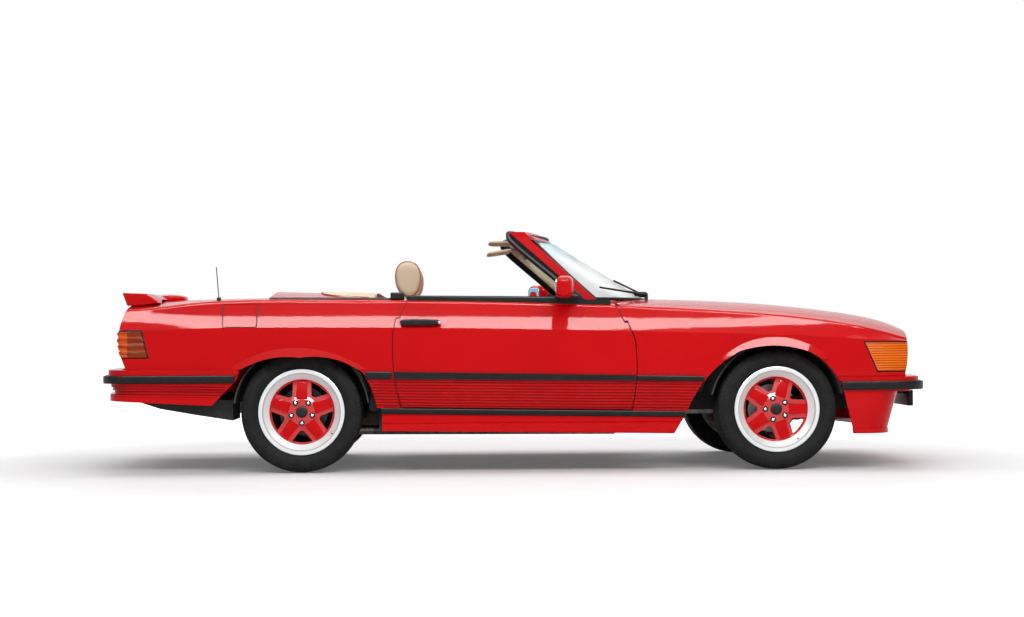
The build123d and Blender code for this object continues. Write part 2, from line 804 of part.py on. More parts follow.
def cabin_panels():
    """Floor, tunnel, firewall and rear wall: right-hand pieces, then those across the middle."""
    side = TUNNEL_HALF + SEAM
    rear_wall = CABIN_REAR - 20
    side_top = TUNNEL_TOP - PANEL - SEAM
    right = [
        block(CABIN_REAR + SEAM, FIREWALL - SEAM, -FLOOR_HALF, -side, FLOOR_LOW, FLOOR_HIGH),
        block(rear_wall, FIREWALL + 22, -TUNNEL_HALF, PANEL - TUNNEL_HALF, FLOOR_LOW, side_top),
        block(FIREWALL, FIREWALL + 22, -690, -side, FLOOR_LOW, TUNNEL_TOP),
        block(rear_wall, CABIN_REAR, -740, -side, FLOOR_LOW, TUNNEL_TOP),
        block(ahead(-738), ahead(-700), -840, -690 - SEAM, sill_line(ahead(-738)) - 30.6, 770),
        block(CABIN_REAR + SEAM, aft(450), -840, -730, sill_line(CABIN_REAR) - 30.6, 790),
    ]
    middle = [
        block(rear_wall, FIREWALL + 22, -TUNNEL_HALF, TUNNEL_HALF, TUNNEL_TOP - PANEL, TUNNEL_TOP),
        block(FIREWALL, FIREWALL + 22, -690, 690, TUNNEL_TOP + SEAM, 800),
        block(rear_wall, CABIN_REAR, -740, 740, TUNNEL_TOP + SEAM, DECK),
        block(aft(-175) + SEAM, rear_wall - SEAM, -555, 555, DECK - 20, DECK),
        block(aft(-195), aft(-175), -555, 555, 360, 680 - SEAM),
    ]
    return right, middle


def front_panels():
    cross = ahead(600)
    rail = block(FIREWALL + 22 + SEAM, cross - SEAM, -RAIL_MID - 25, -RAIL_MID + 25, 300, 390)
    horn = block(cross + 20 + SEAM, ahead(726), -RAIL_MID - 20, -RAIL_MID + 20, 320, 385)
    return [rail, horn & apron(APRON_THICK + SEAT_GAP)]


def boot_floor():
    tub = outline(
        (aft(-925), BOOT_FLOOR),
        (aft(-833), 363),
        (aft(-735), 331),
        (aft(-555), 299),
        (aft(-360), 268),
        (aft(-360), BOOT_FLOOR),
    )
    return prism(SIDE, tub, -745, 745) - block(aft(-900), aft(-300), -390, 90, 200, EXHAUST_ROOF)


def boot_bracket():
    arm = block(aft(-997), aft(-900) - SEAM, -600, -540, 400, 450)
    return arm & rear_bumper_inside(SEAT_GAP)


def underbody():
    liner_form = body_form(SKIN + SEAT_GAP)
    right, middle = cabin_panels()
    right += front_panels() + [boot_bracket()]
    middle.append(boot_floor() & liner_form)
    middle.append(block(aft(-360) + SEAM, aft(-195) - SEAM, -555, 555, BOOT_FLOOR - 16, BOOT_FLOOR))
    middle.append(block(aft(-900), aft(-885), -745, 745, BOOT_FLOOR + SEAM, 548) & liner_form)
    # Cross panels that carry the rubber rests of the boot lid and the bonnet.
    for x, low, top in ((aft(-195), 680, 800), (ahead(600), 300, 640)):
        panel = block(x, x + 20, -620, 620, low, top)
        stop = block(x - 40, x + 20, -620, -540, top - 10, FORM_TOP)
        middle.append((panel + stop + mirrored(stop)) & liner_form)
    for x, inner, low in ((FRONT_AXLE, RAIL_MID + 15, 390 + SEAM), (REAR_AXLE, 555 + SEAM, 360)):
        roof, wall = wheelhouse(x, inner, low)
        wall = wall - block(x - 100, x + 100, 0, 900, 455, 510)
        right.append(mirrored((roof & liner_form) + wall))
    return solids_of(*middle, *right, *[mirrored(piece) for piece in right])


def engine_block():
    engine = block(ahead(-510), ahead(160), -240, 240, 270, 700)
    gearbox = block(ahead(-1040), ahead(-510) - SEAM, -110, 110, 240, 372)
    return solids_of(engine, gearbox)


def dashboard():
    rear = ahead(-1078)
    face = outline(
        (ahead(-740), 640),
        (ahead(-740), 858),
        (rear + 80, 872),
        ((rear + 12, 850), (rear, 790)),
        (rear + 40, 640),
    )
    dash = prism(SIDE, face, -690, 690)
    bow = ((ahead(-640), 0), (ahead(-985), 600))
    top = outline((ahead(-1140), -600), (ahead(-985), -600), bow, (ahead(-1140), 600))
    shelf = dash & prism(PLAN, top, 836, 900)
    dash = dash - block(ahead(-1200), ahead(-400), -700, 700, 836, 900) + shelf
    console = block(CABIN_REAR + 200, ahead(-1040), -130, 130, TUNNEL_TOP, 470)
    stack = block(ahead(-1060), ahead(-780), -130, 130, TUNNEL_TOP, 660)
    column = WHEEL_PLANE * (Pos(0, 0, -160) * Cylinder(34, 297))
    return joined(dash, console, stack, column)


WHEEL_CENTRE = (ahead(-1280), 385, 720)
WHEEL_PLANE = Plane(origin=WHEEL_CENTRE, z_dir=Vector(-260, 0, 85).normalized())


def steering_wheel():
    ring = WHEEL_PLANE * Torus(186, 13)
    hub = WHEEL_PLANE * (Pos(0, 0, 2) * Cylinder(60, 26))
    spokes = WHEEL_PLANE * Box(30, 366, 12)
    return joined(ring, hub, spokes, WHEEL_PLANE * (Pos(-93, 0, 0) * Box(180, 26, 12)))


SEAT_IN = 160.0
SEAT_OUT = 640.0


def seat_right():
    cushion = block(aft(595), aft(1095), -SEAT_OUT, -SEAT_IN, 300, 460)
    back_face = outline((aft(555), 330), (aft(695), 330), (aft(635), 905), (aft(515), 905))
    back = prism(SIDE, back_face, -SEAT_OUT, -SEAT_IN)
    crown = ((aft(570), 1096), (aft(515), 1098))
    rest = prism(SIDE, outline((aft(495), 922), (aft(588), 922), (aft(597), 1040), crown), -500, -270)
    post = block(aft(535), aft(555), -395, -375, 900, 925)
    legs = block(aft(615), aft(1055), -600, -200, FLOOR_HIGH, 302)
    return joined(cushion, back, rest, post, legs)


def visor_right():
    face = outline((ahead(-1478), 1188), (ahead(-1336), 1196), (ahead(-1336), 1206), (ahead(-1478), 1198))
    leaf = prism(SIDE, face, -500, -110)
    return leaf


def rear_trim():
    floor = block(aft(-175), aft(395), -548, 548, DECK, DECK + 14)
    back = block(aft(-173), aft(-159), -548, 548, DECK, 860)
    wall = block(aft(-175), aft(395), -740, -734, 666, 876)
    rim = block(aft(-160), aft(378), -734, -716, 872, 888 - SEAT_GAP)
    tie = block(aft(-173), aft(-159), -740, -500, 800 + SEAT_GAP, 876)
    face = outline((aft(385), 880), (aft(400), 880), ((aft(412), 905), (aft(392), 925)), (aft(385), 920))
    roll = prism(SIDE, face, -700, 700)
    post = block(aft(385), aft(395), -740, -680, 666, 900)
    whole = joined(floor, back, roll)
    for piece in (wall, rim, tie, post):
        whole = whole + piece + mirrored(piece)
    return whole


def exhaust():
    low = EXHAUST_ROOF - 66
    high = EXHAUST_ROOF - 6
    middle = (low + high) / 2
    knee = (aft(-205), -60, 188)
    pipe = bar((ahead(-780), -60, 180), knee, 28)
    bend = bar(knee, (aft(-380), -150, middle), 28)
    box = block(aft(-585), aft(-335), -360, 60, low, high)
    tail = bar((aft(-560), -330, middle), (aft(-830), -330, middle + 14), 18)
    bore = bar((aft(-700), -330, middle + 7), (aft(-840), -330, middle + 14.5), 15)
    hanger = block(aft(-500), aft(-470), -200, -160, high - 5, EXHAUST_ROOF)
    return joined(pipe, bend, box, tail - bore, hanger)


def aerial():
    mast = bar((aft(-423), -800, 884), (aft(-437), -800, 1061), 2.5)
    base = bar((aft(-423), -800, 878), (aft(-425), -800, 905), 11)
    return largest(joined(mast, base) - OUTER)


# Wipers. Columns: where the spindle and the blade's tip stand across the car, and the tip's height.
Wiper = namedtuple("Wiper", "spindle tip high")

WIPERS = [Wiper(110, -250, 997), Wiper(-300, -545, 955)]


def wipers():
    pieces = []
    for w in WIPERS:
        root = (bowed(COWL_HOLE, w.spindle) + bowed(BONNET_BOW, w.spindle)) / 2
        spindle = bar((root, w.spindle, 860), (root, w.spindle, 926), 9) - OUTER
        arm = bar((root, w.spindle, 918), (screen_x(w.tip, w.high) + 16, w.tip, w.high), 5)
        pieces.append(largest(spindle + arm))
    return solids_of(*pieces)


def mirror_right():
    bow = ((ahead(-1070), 950), (ahead(-1094), 1004))
    face = outline((ahead(-1148), 894), (ahead(-1092), 892), bow, (ahead(-1148), 1002))
    shell = prism(SIDE, face, -1055, -915)
    stem = outline((ahead(-1150), 840), (ahead(-1040), 840), (ahead(-1080), 960), (ahead(-1132), 960))
    foot = prism(SIDE, stem, -918, -836)
    return largest(joined(shell, foot) - body_form(-0.3))


def spoiler():
    wing = outline(
        (aft(-917), 900),
        (aft(-868), 905),
        (aft(-760), 900),
        (aft(-818), 930),
        (aft(-942), 936),
        (aft(-938), 915),
    )
    pod = outline((aft(-870), 900), (aft(-694), 900), (aft(-735), 926), (aft(-858), 939))
    end = outline((aft(-892), 862), (aft(-721), 880), (aft(-760), 904), (aft(-818), 930), (aft(-942), 936))
    half = LID_HALF - 12
    whole = prism(SIDE, wing, -half, half) + prism(SIDE, pod, -110, 110)
    whole = whole + prism(SIDE, end, -half, -half + 110) + prism(SIDE, end, half - 110, half)
    return largest(whole - OUTER)


def door_trim_right():
    strip = rub_strip(aft(475), ahead(-740))
    lip = outline((aft(545), 905), (aft(545), 860), (ahead(-860), 840), (ahead(-860), 884))
    seal = largest(prism(SIDE, lip, -832, -800) - OUTER)
    handle = block(aft(514), aft(709), -900, -850, 757, 784)
    handle = largest(handle - OUTER)
    return solids_of(strip, seal, handle)


def grille():
    half = LAMP_INNER - SEAT_GAP
    front = OUTER & block(ahead(640), FAR, -half, half, 508, 660)
    panel = (Pos(-10, 0, 0) * front) - (Pos(-30, 0, 0) * front)
    panel = panel & block(ahead(700), FAR, -half, half, 508, 660)
    for k in range(5):
        panel = panel - block(ahead(600), FAR, -half + 25, half - 25, 524 + k * 27, 538 + k * 27)
    return panel


def nose_panel():
    return largest(SKINNED & block(ahead(650), FAR, -700, 700, APRON_TOP + 4, 503 - LAMP_SEAT))


def save(name, part):
    solids = list(part.solids())
    shape = solids[0] if len(solids) == 1 else Compound(children=solids)
    export_step(shape, os.path.join("parts", name + ".step"))
    box = shape.bounding_box()
    print(name, len(solids), shape.is_valid, round(shape.volume / 1e6, 1), box.min, box.max)


def main():
    os.makedirs("parts", exist_ok=True)
    save("underbody", underbody())
    save("front_fenders", both(fender_right()))
    save("rear_body", rear_body())
    save("fuel_flap", fuel_flap())
    save("sills", both(sill_right()))
    save("screen_frame", screen_frame())
    save("windscreen_glass", pane(0))
    save("nose_panel", nose_panel())
    save("grille", grille())
    save("front_lamps", both(front_lamp_right()))
    save("tail_lamps", both(tail_lamp_right()))
    save("front_bumper", front_bumper())
    save("rear_bumper", rear_bumper())
    save("body_strips", body_strips())
    save("engine_block", engine_block())
    save("sun_visors", both(visor_right()))
    save("dashboard", dashboard())
    save("seats", both(seat_right()))
    save("rear_trim", rear_trim())
    save("exhaust", exhaust())
    save("front_suspension", front_suspension())
    save("rear_axle", rear_axle())
    save("aerial", aerial())
    save("wipers", wipers())
    sides = (("door", door_right()), ("door_trim", door_trim_right()), ("mirror", mirror_right()))
    for name, piece in sides:
        save(name + "_right", piece)
        save(name + "_left", mirrored(piece))
    save("bonnet", bonnet())
    save("boot_lid", boot_lid())
    save("spoiler", spoiler())
    save("soft_top_cover", soft_top_cover())
    save("steering_wheel", steering_wheel())
    save("knuckle_right", knuckle_right())
    save("knuckle_left", mirrored(knuckle_right()))
    for name, x, side in (
        ("front_right", FRONT_AXLE, -1),
        ("front_left", FRONT_AXLE, 1),
        ("rear_right", REAR_AXLE, -1),
        ("rear_left", REAR_AXLE, 1),
    ):
        save("tyre_" + name, placed(tyre(), x, side))
        save("rim_" + name, placed(rim(), x, side))


main()
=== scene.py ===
"""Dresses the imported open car: finishes, wheels, lamps, cockpit, trim and a pale studio."""

import logging
import math
from dataclasses import dataclass, field
from enum import Enum
from typing import Optional, Sequence, Union

import bmesh
import bpy
from mathutils import Matrix, Vector


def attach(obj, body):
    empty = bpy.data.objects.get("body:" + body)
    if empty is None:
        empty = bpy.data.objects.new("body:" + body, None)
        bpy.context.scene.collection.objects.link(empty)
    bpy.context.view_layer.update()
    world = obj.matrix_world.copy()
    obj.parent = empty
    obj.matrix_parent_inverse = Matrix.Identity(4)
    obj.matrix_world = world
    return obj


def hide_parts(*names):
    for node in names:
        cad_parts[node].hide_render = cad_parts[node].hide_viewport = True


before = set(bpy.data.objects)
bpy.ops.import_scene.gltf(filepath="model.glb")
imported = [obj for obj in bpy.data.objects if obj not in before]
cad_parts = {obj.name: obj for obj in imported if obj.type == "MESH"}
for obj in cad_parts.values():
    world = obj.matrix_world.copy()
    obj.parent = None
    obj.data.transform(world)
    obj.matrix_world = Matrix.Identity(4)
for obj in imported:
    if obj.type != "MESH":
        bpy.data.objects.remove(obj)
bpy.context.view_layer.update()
LOG = logging.getLogger("car")
Colour = tuple[float, float, float]
Point = tuple[float, float, float]
Profile = Sequence[tuple[float, float]]
Line = Sequence[Point]

FRONT_AXLE = 1.340
REAR_AXLE = -1.115
TRACK_HALF = 0.7325
HUB_HEIGHT = 0.313
SPOKES = 5
SEAM_END = 0.85
SEAM_SHARPNESS = 14
TINY = 1e-9


class Side(Enum):
    """Right or left of the car, as the sign of Y."""

    RIGHT = -1
    LEFT = 1

    @property
    def label(self) -> str:
        """The side's name."""
        return self.name.lower()

    def place(self, x: float, y: float, z: float) -> Point:
        """A point given for the left side, put on this side."""
        return (x, self.value * y, z)


class Corner(Enum):
    """The four wheels: body name, place along X, side, and turn of the wheel about its axle."""

    FRONT_RIGHT = ("front_right", FRONT_AXLE, Side.RIGHT, 18.0)
    FRONT_LEFT = ("front_left", FRONT_AXLE, Side.LEFT, 18.0)
    REAR_RIGHT = ("rear_right", REAR_AXLE, Side.RIGHT, 0.0)
    REAR_LEFT = ("rear_left", REAR_AXLE, Side.LEFT, 0.0)

    @property
    def label(self) -> str:
        """The wheel's name."""
        return self.value[0]

    @property
    def body(self) -> str:
        """The CAD body of the wheel."""
        return "wheel_" + self.label

    @property
    def sign(self) -> int:
        """Minus one on the right of the car, one on the left."""
        return self.value[2].value

    @property
    def first(self) -> float:
        """Angle of the first spoke about the axle, in degrees from ahead, upwards."""
        return 90.0 - self.value[3]

    @property
    def steers(self) -> bool:
        """Whether it is a front wheel."""
        return self.value[1] > 0

    @property
    def centre(self) -> Vector:
        """Centre of the wheel."""
        return Vector((self.value[1], self.sign * TRACK_HALF, HUB_HEIGHT))


# ---------------------------------------------------------------- shaders


class Wire:
    """A shader socket that can be used in arithmetic."""

    def __init__(self, board: "NodeBoard", socket: bpy.types.NodeSocket) -> None:
        """Keep the board that holds the socket's node, and the output socket."""
        self.board = board
        self.socket = socket

    def calc(self, operation: str, *others: Union["Wire", float]) -> "Wire":
        """Add a Math node that works on this socket and the others.

        Args:
            operation: the Math node's operation.
            others: further inputs, as wires or numbers.

        Returns:
            The node's result.
        """
        values = dict(enumerate((self, *others)))
        node = self.board.node("ShaderNodeMath", values, operation=operation)
        return Wire(self.board, node.outputs[0])

    def __add__(self, other: Union["Wire", float]) -> "Wire":
        """Sum."""
        return self.calc("ADD", other)

    __radd__ = __add__

    def __mul__(self, other: Union["Wire", float]) -> "Wire":
        """Product."""
        return self.calc("MULTIPLY", other)

    __rmul__ = __mul__

    def __sub__(self, other: Union["Wire", float]) -> "Wire":
        """Difference."""
        return self.calc("SUBTRACT", other)

    def __rsub__(self, other: float) -> "Wire":
        """Difference from a number."""
        return self.calc("MULTIPLY", -1.0).calc("ADD", other)

    def __truediv__(self, other: Union["Wire", float]) -> "Wire":
        """Quotient."""
        return self.calc("DIVIDE", other)

    def __gt__(self, other: Union["Wire", float]) -> "Wire":
        """One where this is greater, else zero."""
        return self.calc("GREATER_THAN", other)

    def __lt__(self, other: Union["Wire", float]) -> "Wire":
        """One where this is less, else zero."""
        return self.calc("LESS_THAN", other)

    def ridge(self) -> "Wire":
        """Distance from the middle of each unit step, from 0 to 0.5."""
        return (self.calc("FRACT") - 0.5).calc("ABSOLUTE")

    def step(self, low: float, high: float) -> "Wire":
        """Rise smoothly from 0 at low to 1 at high.

        Args:
            low: value where the rise begins.
            high: value where it ends.

        Returns:
            The smoothed step.
        """
        values = {"Value": self, "From Min": low, "From Max": high}
        node = self.board.node("ShaderNodeMapRange", values, interpolation_type="SMOOTHSTEP")
        return Wire(self.board, node.outputs["Result"])


Value = Union[Wire, float, Sequence[float]]


class NodeBoard:
    """An emptied node tree under construction."""

    def __init__(self, owner: Union[bpy.types.Material, bpy.types.World]) -> None:
        """Clear the owner's nodes.

        Args:
            owner: a material or a world.
        """
        owner.use_nodes = True
        self.tree = owner.node_tree
        self.tree.nodes.clear()

    def node(self, kind: str, values: Optional[dict] = None, **settings: str) -> bpy.types.Node:
        """Add a node.

        Args:
            kind: the node's type.
            values: socket name or index to a wire or a constant.
            settings: attributes, set before the values.

        Returns:
            The new node.
        """
        made = self.tree.nodes.new(kind)
        for key, setting in settings.items():
            setattr(made, key, setting)
        for key, value in (values or {}).items():
            self.feed(made.inputs[key], value)
        return made

    def feed(self, socket: bpy.types.NodeSocket, value: Value) -> None:
        """Link or set one input.

        Args:
            socket: the input.
            value: a wire, a number, a vector or a colour.
        """
        if isinstance(value, Wire):
            self.tree.links.new(value.socket, socket)
        elif isinstance(value, (int, float)):
            socket.default_value = value
        else:
            wanted = len(socket.default_value)
            socket.default_value = (*value, 1.0)[:wanted]

    def seen(self) -> Wire:
        """One for rays from the eye or through glass, half for gloss rays, else zero.

        Returns:
            The share.
        """
        path = self.node("ShaderNodeLightPath")
        eye, glass, gloss = (
            Wire(self, path.outputs[f"Is {kind} Ray"]) for kind in ("Camera", "Transmission", "Glossy")
        )
        return eye.calc("MAXIMUM", glass).calc("MAXIMUM", gloss * 0.5)


class Shader(NodeBoard):
    """One material under construction."""

    def __init__(self, name: str) -> None:
        """Start an empty material.

        Args:
            name: the material's name.
        """
        self.material = bpy.data.materials.new(name)
        super().__init__(self.material)
        self.skin = self.tree.nodes.new("ShaderNodeBsdfPrincipled")
        out = self.tree.nodes.new("ShaderNodeOutputMaterial")
        self.tree.links.new(self.skin.outputs[0], out.inputs[0])

    def here(self) -> Wire:
        """Object coordinates."""
        return Wire(self, self.node("ShaderNodeTexCoord").outputs["Object"])

    def place(self, centre: Point = (0, 0, 0)) -> tuple[Wire, Wire, Wire, Wire]:
        """Object coordinates about a centre.

        Args:
            centre: the point taken as the origin.

        Returns:
            The vector, then its X, Y and Z.
        """
        moved = self.node("ShaderNodeMapping", {0: self.here(), 1: tuple(-c for c in centre)})
        vector = Wire(self, moved.outputs[0])
        split = self.node("ShaderNodeSeparateXYZ", {0: vector})
        return (vector, *(Wire(self, out) for out in split.outputs))

    def noise(self, scale: float, detail: float = 3.0, stretch: Point = (1, 1, 1)) -> Wire:
        """Noise on object coordinates.

        Args:
            scale: features per metre.
            detail: octaves.
            stretch: scale along each axis.

        Returns:
            The noise, from 0 to 1.
        """
        moved = self.node("ShaderNodeMapping", {0: self.here(), 3: stretch})
        values = {"Vector": Wire(self, moved.outputs[0]), "Scale": scale, "Detail": detail}
        return Wire(self, self.node("ShaderNodeTexNoise", values).outputs[0])

    def cells(self, scale: float, feature: str = "F1") -> Wire:
        """Distance in a cell pattern on object coordinates.

        Args:
            scale: cells per metre.
            feature: the Voronoi feature.

        Returns:
            The distance.
        """
        values = {"Vector": self.here(), "Scale": scale}
        made = self.node("ShaderNodeTexVoronoi", values, feature=feature)
        return Wire(self, made.outputs["Distance"])

    def blend(self, share: Value, first: Value, second: Value) -> Wire:
        """The second colour mixed into the first by a share."""
        node = self.node("ShaderNodeMix", {0: share, 6: first, 7: second}, data_type="RGBA")
        return Wire(self, node.outputs[2])

    def relief(self, height: Wire, depth: float, under: Optional[Wire] = None) -> Wire:
        """Bump from a height.

        Args:
            height: the height, from 0 to 1.
            depth: what 1 stands for, in metres.
            under: a normal that this one adds to.

        Returns:
            The normal.
        """
        values: dict = {"Strength": 1.0, "Distance": depth, "Height": height}
        if under is not None:
            values["Normal"] = under
        return Wire(self, self.node("ShaderNodeBump", values).outputs[0])

    def base(self) -> Wire:
        """What feeds the base colour so far."""
        return Wire(self, self.skin.inputs["Base Color"].links[0].from_socket)

    def finish(self, **values: Value) -> bpy.types.Material:
        """Set the surface's sockets.

        Args:
            values: socket names with underscores for spaces.

        Returns:
            The finished material.
        """
        for name, value in values.items():
            self.feed(self.skin.inputs[name.replace("_", " ")], value)
        return self.material


class Finish:
    """A named finish that makes its material once."""

    _made: dict[str, bpy.types.Material] = {}

    name: str

    def build(self, shader: Shader) -> bpy.types.Material:
        """Fill an empty shader and give its material."""
        raise NotImplementedError

    def material(self) -> bpy.types.Material:
        """Make the material on first use.

        Returns:
            The finish's material.
        """
        if self.name not in Finish._made:
            Finish._made[self.name] = self.build(Shader(self.name))
        return Finish._made[self.name]

    def dress(self, piece: bpy.types.Object) -> None:
        """Put the finish on a piece."""
        piece.data.materials.clear()
        piece.data.materials.append(self.material())


@dataclass(frozen=True)
class Paint(Finish):
    """Gloss body colour under a clear coat, with a trace of orange peel and dust."""

    name: str = "gloss_paint"
    colour: Colour = (0.60, 0.001, 0.003)
    deep: Colour = (0.50, 0.0006, 0.002)

    def skin(self, shader: Shader, normal: Wire) -> bpy.types.Material:
        """Set the coat over a relief.

        Args:
            shader: the shader.
            normal: the relief beneath the coat.

        Returns:
            The material.
        """
        cloud = shader.noise(2.5, 2.0)
        dust = shader.noise(38.0, 5.0)
        colour = shader.blend(cloud.step(0.35, 0.7) * 0.35, self.colour, self.deep)
        return shader.finish(
            Base_Color=colour,
            Roughness=0.40 + dust * 0.10,
            Specular_IOR_Level=0.02,
            Coat_Weight=0.90 - dust.step(0.62, 0.85) * 0.06,
            Coat_Roughness=0.06,
            Coat_IOR=1.2,
            Normal=normal,
        )

    def build(self, shader: Shader) -> bpy.types.Material:
        """Plain gloss paint."""
        return self.skin(shader, shader.relief(shader.noise(420.0, 1.0), 0.000012))


@dataclass(frozen=True)
class RibbedPaint(Paint):
    """Gloss paint with fine raised ribs between the sill and the rub strip."""

    name: str = "gloss_paint_ribbed"
    ribs: int = 10
    depth: float = 0.0028
    rear: float = -0.800
    front: float = 0.975
    span: tuple[float, float] = (0.03, 0.985)
    foot: tuple[float, float] = (0.3226, 0.016)
    head: tuple[float, float] = (0.4736, 0.0121)

    def build(self, shader: Shader) -> bpy.types.Material:
        """Ribs between two sloping lines, each given by its height amidships and its fall.

        Args:
            shader: an empty shader.

        Returns:
            The material.
        """
        _, x, y, z = shader.place()
        low, high = (height - x * fall for height, fall in (self.foot, self.head))
        share = (z - low) / (high - low)
        inside = (share > self.span[0]) * (share < self.span[1]) * (x > self.rear) * (x < self.front)
        side = y.calc("ABSOLUTE") > 0.80
        wave = (share * float(self.ribs)).calc("FRACT")
        groove = 1.0 - (wave.step(0.02, 0.16) * (1.0 - wave.step(0.62, 0.78)))
        cut = groove * inside * side
        ribs = shader.relief(cut * -1.0, self.depth)
        peel = shader.relief(shader.noise(420.0, 1.0), 0.000012, ribs)
        made = self.skin(shader, peel)
        # Painted shade: the grooves between the ribs are darkened towards a deep red-black.
        shader.finish(Base_Color=shader.blend(cut * 0.75, shader.base(), (0.12, 0.0, 0.001)))
        return made


@dataclass(frozen=True)
class FramePaint(Paint):
    """Gloss paint that gives way to a black seal along the back of the windscreen pillars."""

    name: str = "frame_paint"
    foot: tuple[float, float] = (0.350, 0.866)
    slope: float = -1.1236
    seal: float = 0.042
    lowest: float = 0.905

    def build(self, shader: Shader) -> bpy.types.Material:
        """Paint and seal, told apart by the distance from the pillar's back edge.

        Args:
            shader: an empty shader.

        Returns:
            The material.
        """
        made = super().build(shader)
        _, x, _, z = shader.place()
        back = x - self.foot[0] - (z - self.foot[1]) * self.slope
        seal = (back < self.seal) * (z > self.lowest)
        shader.finish(
            Base_Color=shader.blend(seal, shader.base(), (0.006, 0.006, 0.007)),
            Coat_Weight=(1.0 - seal) * 0.9,
        )
        return made


@dataclass(frozen=True)
class Rubber(Finish):
    """Moulded black rubber or plastic with a fine grain and worn, dusty patches."""

    name: str = "black_rubber"
    colour: Colour = (0.005, 0.005, 0.006)
    pale: Colour = (0.014, 0.014, 0.015)
    rough: float = 0.30
    grain: float = 1400.0
    depth: float = 0.00012

    def build(self, shader: Shader) -> bpy.types.Material:
        """Grain and wear.

        Args:
            shader: an empty shader.

        Returns:
            The material.
        """
        wear = shader.noise(26.0, 5.0)
        grain = shader.cells(self.grain)
        return shader.finish(
            Base_Color=shader.blend(wear.step(0.45, 0.8) * 0.5, self.colour, self.pale),
            Roughness=self.rough + wear * 0.18,
            Specular_IOR_Level=0.2,
            Normal=shader.relief(grain, self.depth),
        )


@dataclass(frozen=True)
class Metal(Finish):
    """Bare metal with turned or brushed streaks."""

    name: str = "bright_metal"
    colour: Colour = (0.78, 0.78, 0.77)
    dull: Colour = (0.52, 0.52, 0.51)
    rough: float = 0.20
    streaks: Point = (1, 40, 1)
    depth: float = 0.00003

    def build(self, shader: Shader) -> bpy.types.Material:
        """Streaks and stains.

        Args:
            shader: an empty shader.

        Returns:
            The material.
        """
        stain = shader.noise(30.0, 4.0)
        streak = shader.noise(60.0, 3.0, self.streaks)
        return shader.finish(
            Base_Color=shader.blend(stain.step(0.4, 0.75), self.colour, self.dull),
            Metallic=1.0,
            Roughness=self.rough + streak * 0.18,
            Normal=shader.relief(streak, self.depth),
        )


@dataclass(frozen=True)
class Underseal(Finish):
    """Sprayed black underbody coating with road dirt."""

    name: str = "underseal"
    colour: Colour = (0.012, 0.012, 0.012)
    dirt: Colour = (0.055, 0.048, 0.040)

    def build(self, shader: Shader) -> bpy.types.Material:
        """Lumpy coating.

        Args:
            shader: an empty shader.

        Returns:
            The material.
        """
        dirt = shader.noise(9.0, 6.0)
        lumps = shader.noise(240.0, 3.0)
        return shader.finish(
            Base_Color=shader.blend(dirt.step(0.5, 0.8) * 0.7, self.colour, self.dirt),
            Roughness=0.62 + dirt * 0.25,
            Normal=shader.relief(lumps, 0.0009),
        )


@dataclass(frozen=True)
class Glass(Finish):
    """Thin laminated glass with a green tint, a shade band at the top and faint smears."""

    name: str = "screen_glass"
    tint: Colour = (0.80, 0.90, 0.89)
    shade: Colour = (0.20, 0.50, 0.66)
    band: tuple[float, float] = (1.06, 1.20)

    def build(self, shader: Shader) -> bpy.types.Material:
        """Glass as a see-through sheet with a gloss.

        Args:
            shader: an empty shader.

        Returns:
            The material.
        """
        smear = shader.noise(14.0, 4.0)
        _, _, _, z = shader.place()
        return shader.finish(
            Base_Color=shader.blend(z.step(*self.band) * 0.9, self.tint, self.shade),
            Roughness=0.26 + smear * 0.08,
            Transmission_Weight=1.0,
            IOR=1.08,
            Specular_IOR_Level=0.1,
            Alpha=0.34 + z.step(*self.band) * 0.30,
        )


@dataclass(frozen=True)
class Leather(Finish):
    """Hide with a pebbled grain, soft creases and slight soiling."""

    name: str = "cream_leather"
    colour: Colour = (0.64, 0.50, 0.33)
    worn: Colour = (0.48, 0.36, 0.22)
    grain: float = 620.0

    def build(self, shader: Shader) -> bpy.types.Material:
        """Grain and creases.

        Args:
            shader: an empty shader.

        Returns:
            The material.
        """
        soil = shader.noise(7.0, 5.0)
        crease = shader.noise(55.0, 4.0)
        pebble = shader.cells(self.grain, "DISTANCE_TO_EDGE").step(0.0, 0.25)
        fold = shader.relief(crease, 0.0012)
        return shader.finish(
            Base_Color=shader.blend(soil.step(0.45, 0.85) * 0.5, self.colour, self.worn),
            Roughness=0.46 + soil * 0.2,
            Normal=shader.relief(pebble, 0.00025, fold),
        )


@dataclass(frozen=True)
class Carpet(Finish):
    """Looped pile carpet, each loop's top painted lighter than the painted shade between loops."""

    name: str = "looped_carpet"
    colour: Colour = (0.16, 0.012, 0.012)
    light: Colour = (0.30, 0.04, 0.035)

    def build(self, shader: Shader) -> bpy.types.Material:
        """Pile loops, lighter at their tops and darker between them: painted highlight and shade.

        Args:
            shader: an empty shader.

        Returns:
            The material.
        """
        loops = shader.cells(420.0)
        patch = shader.noise(10.0, 3.0)
        return shader.finish(
            # Painted light and shade: light on each loop's top, colour in the hollows between loops.
            Base_Color=shader.blend(loops.step(0.1, 0.6), self.light, self.colour),
            Roughness=0.85 + patch * 0.1,
            Normal=shader.relief(1.0 - loops, 0.0015),
        )


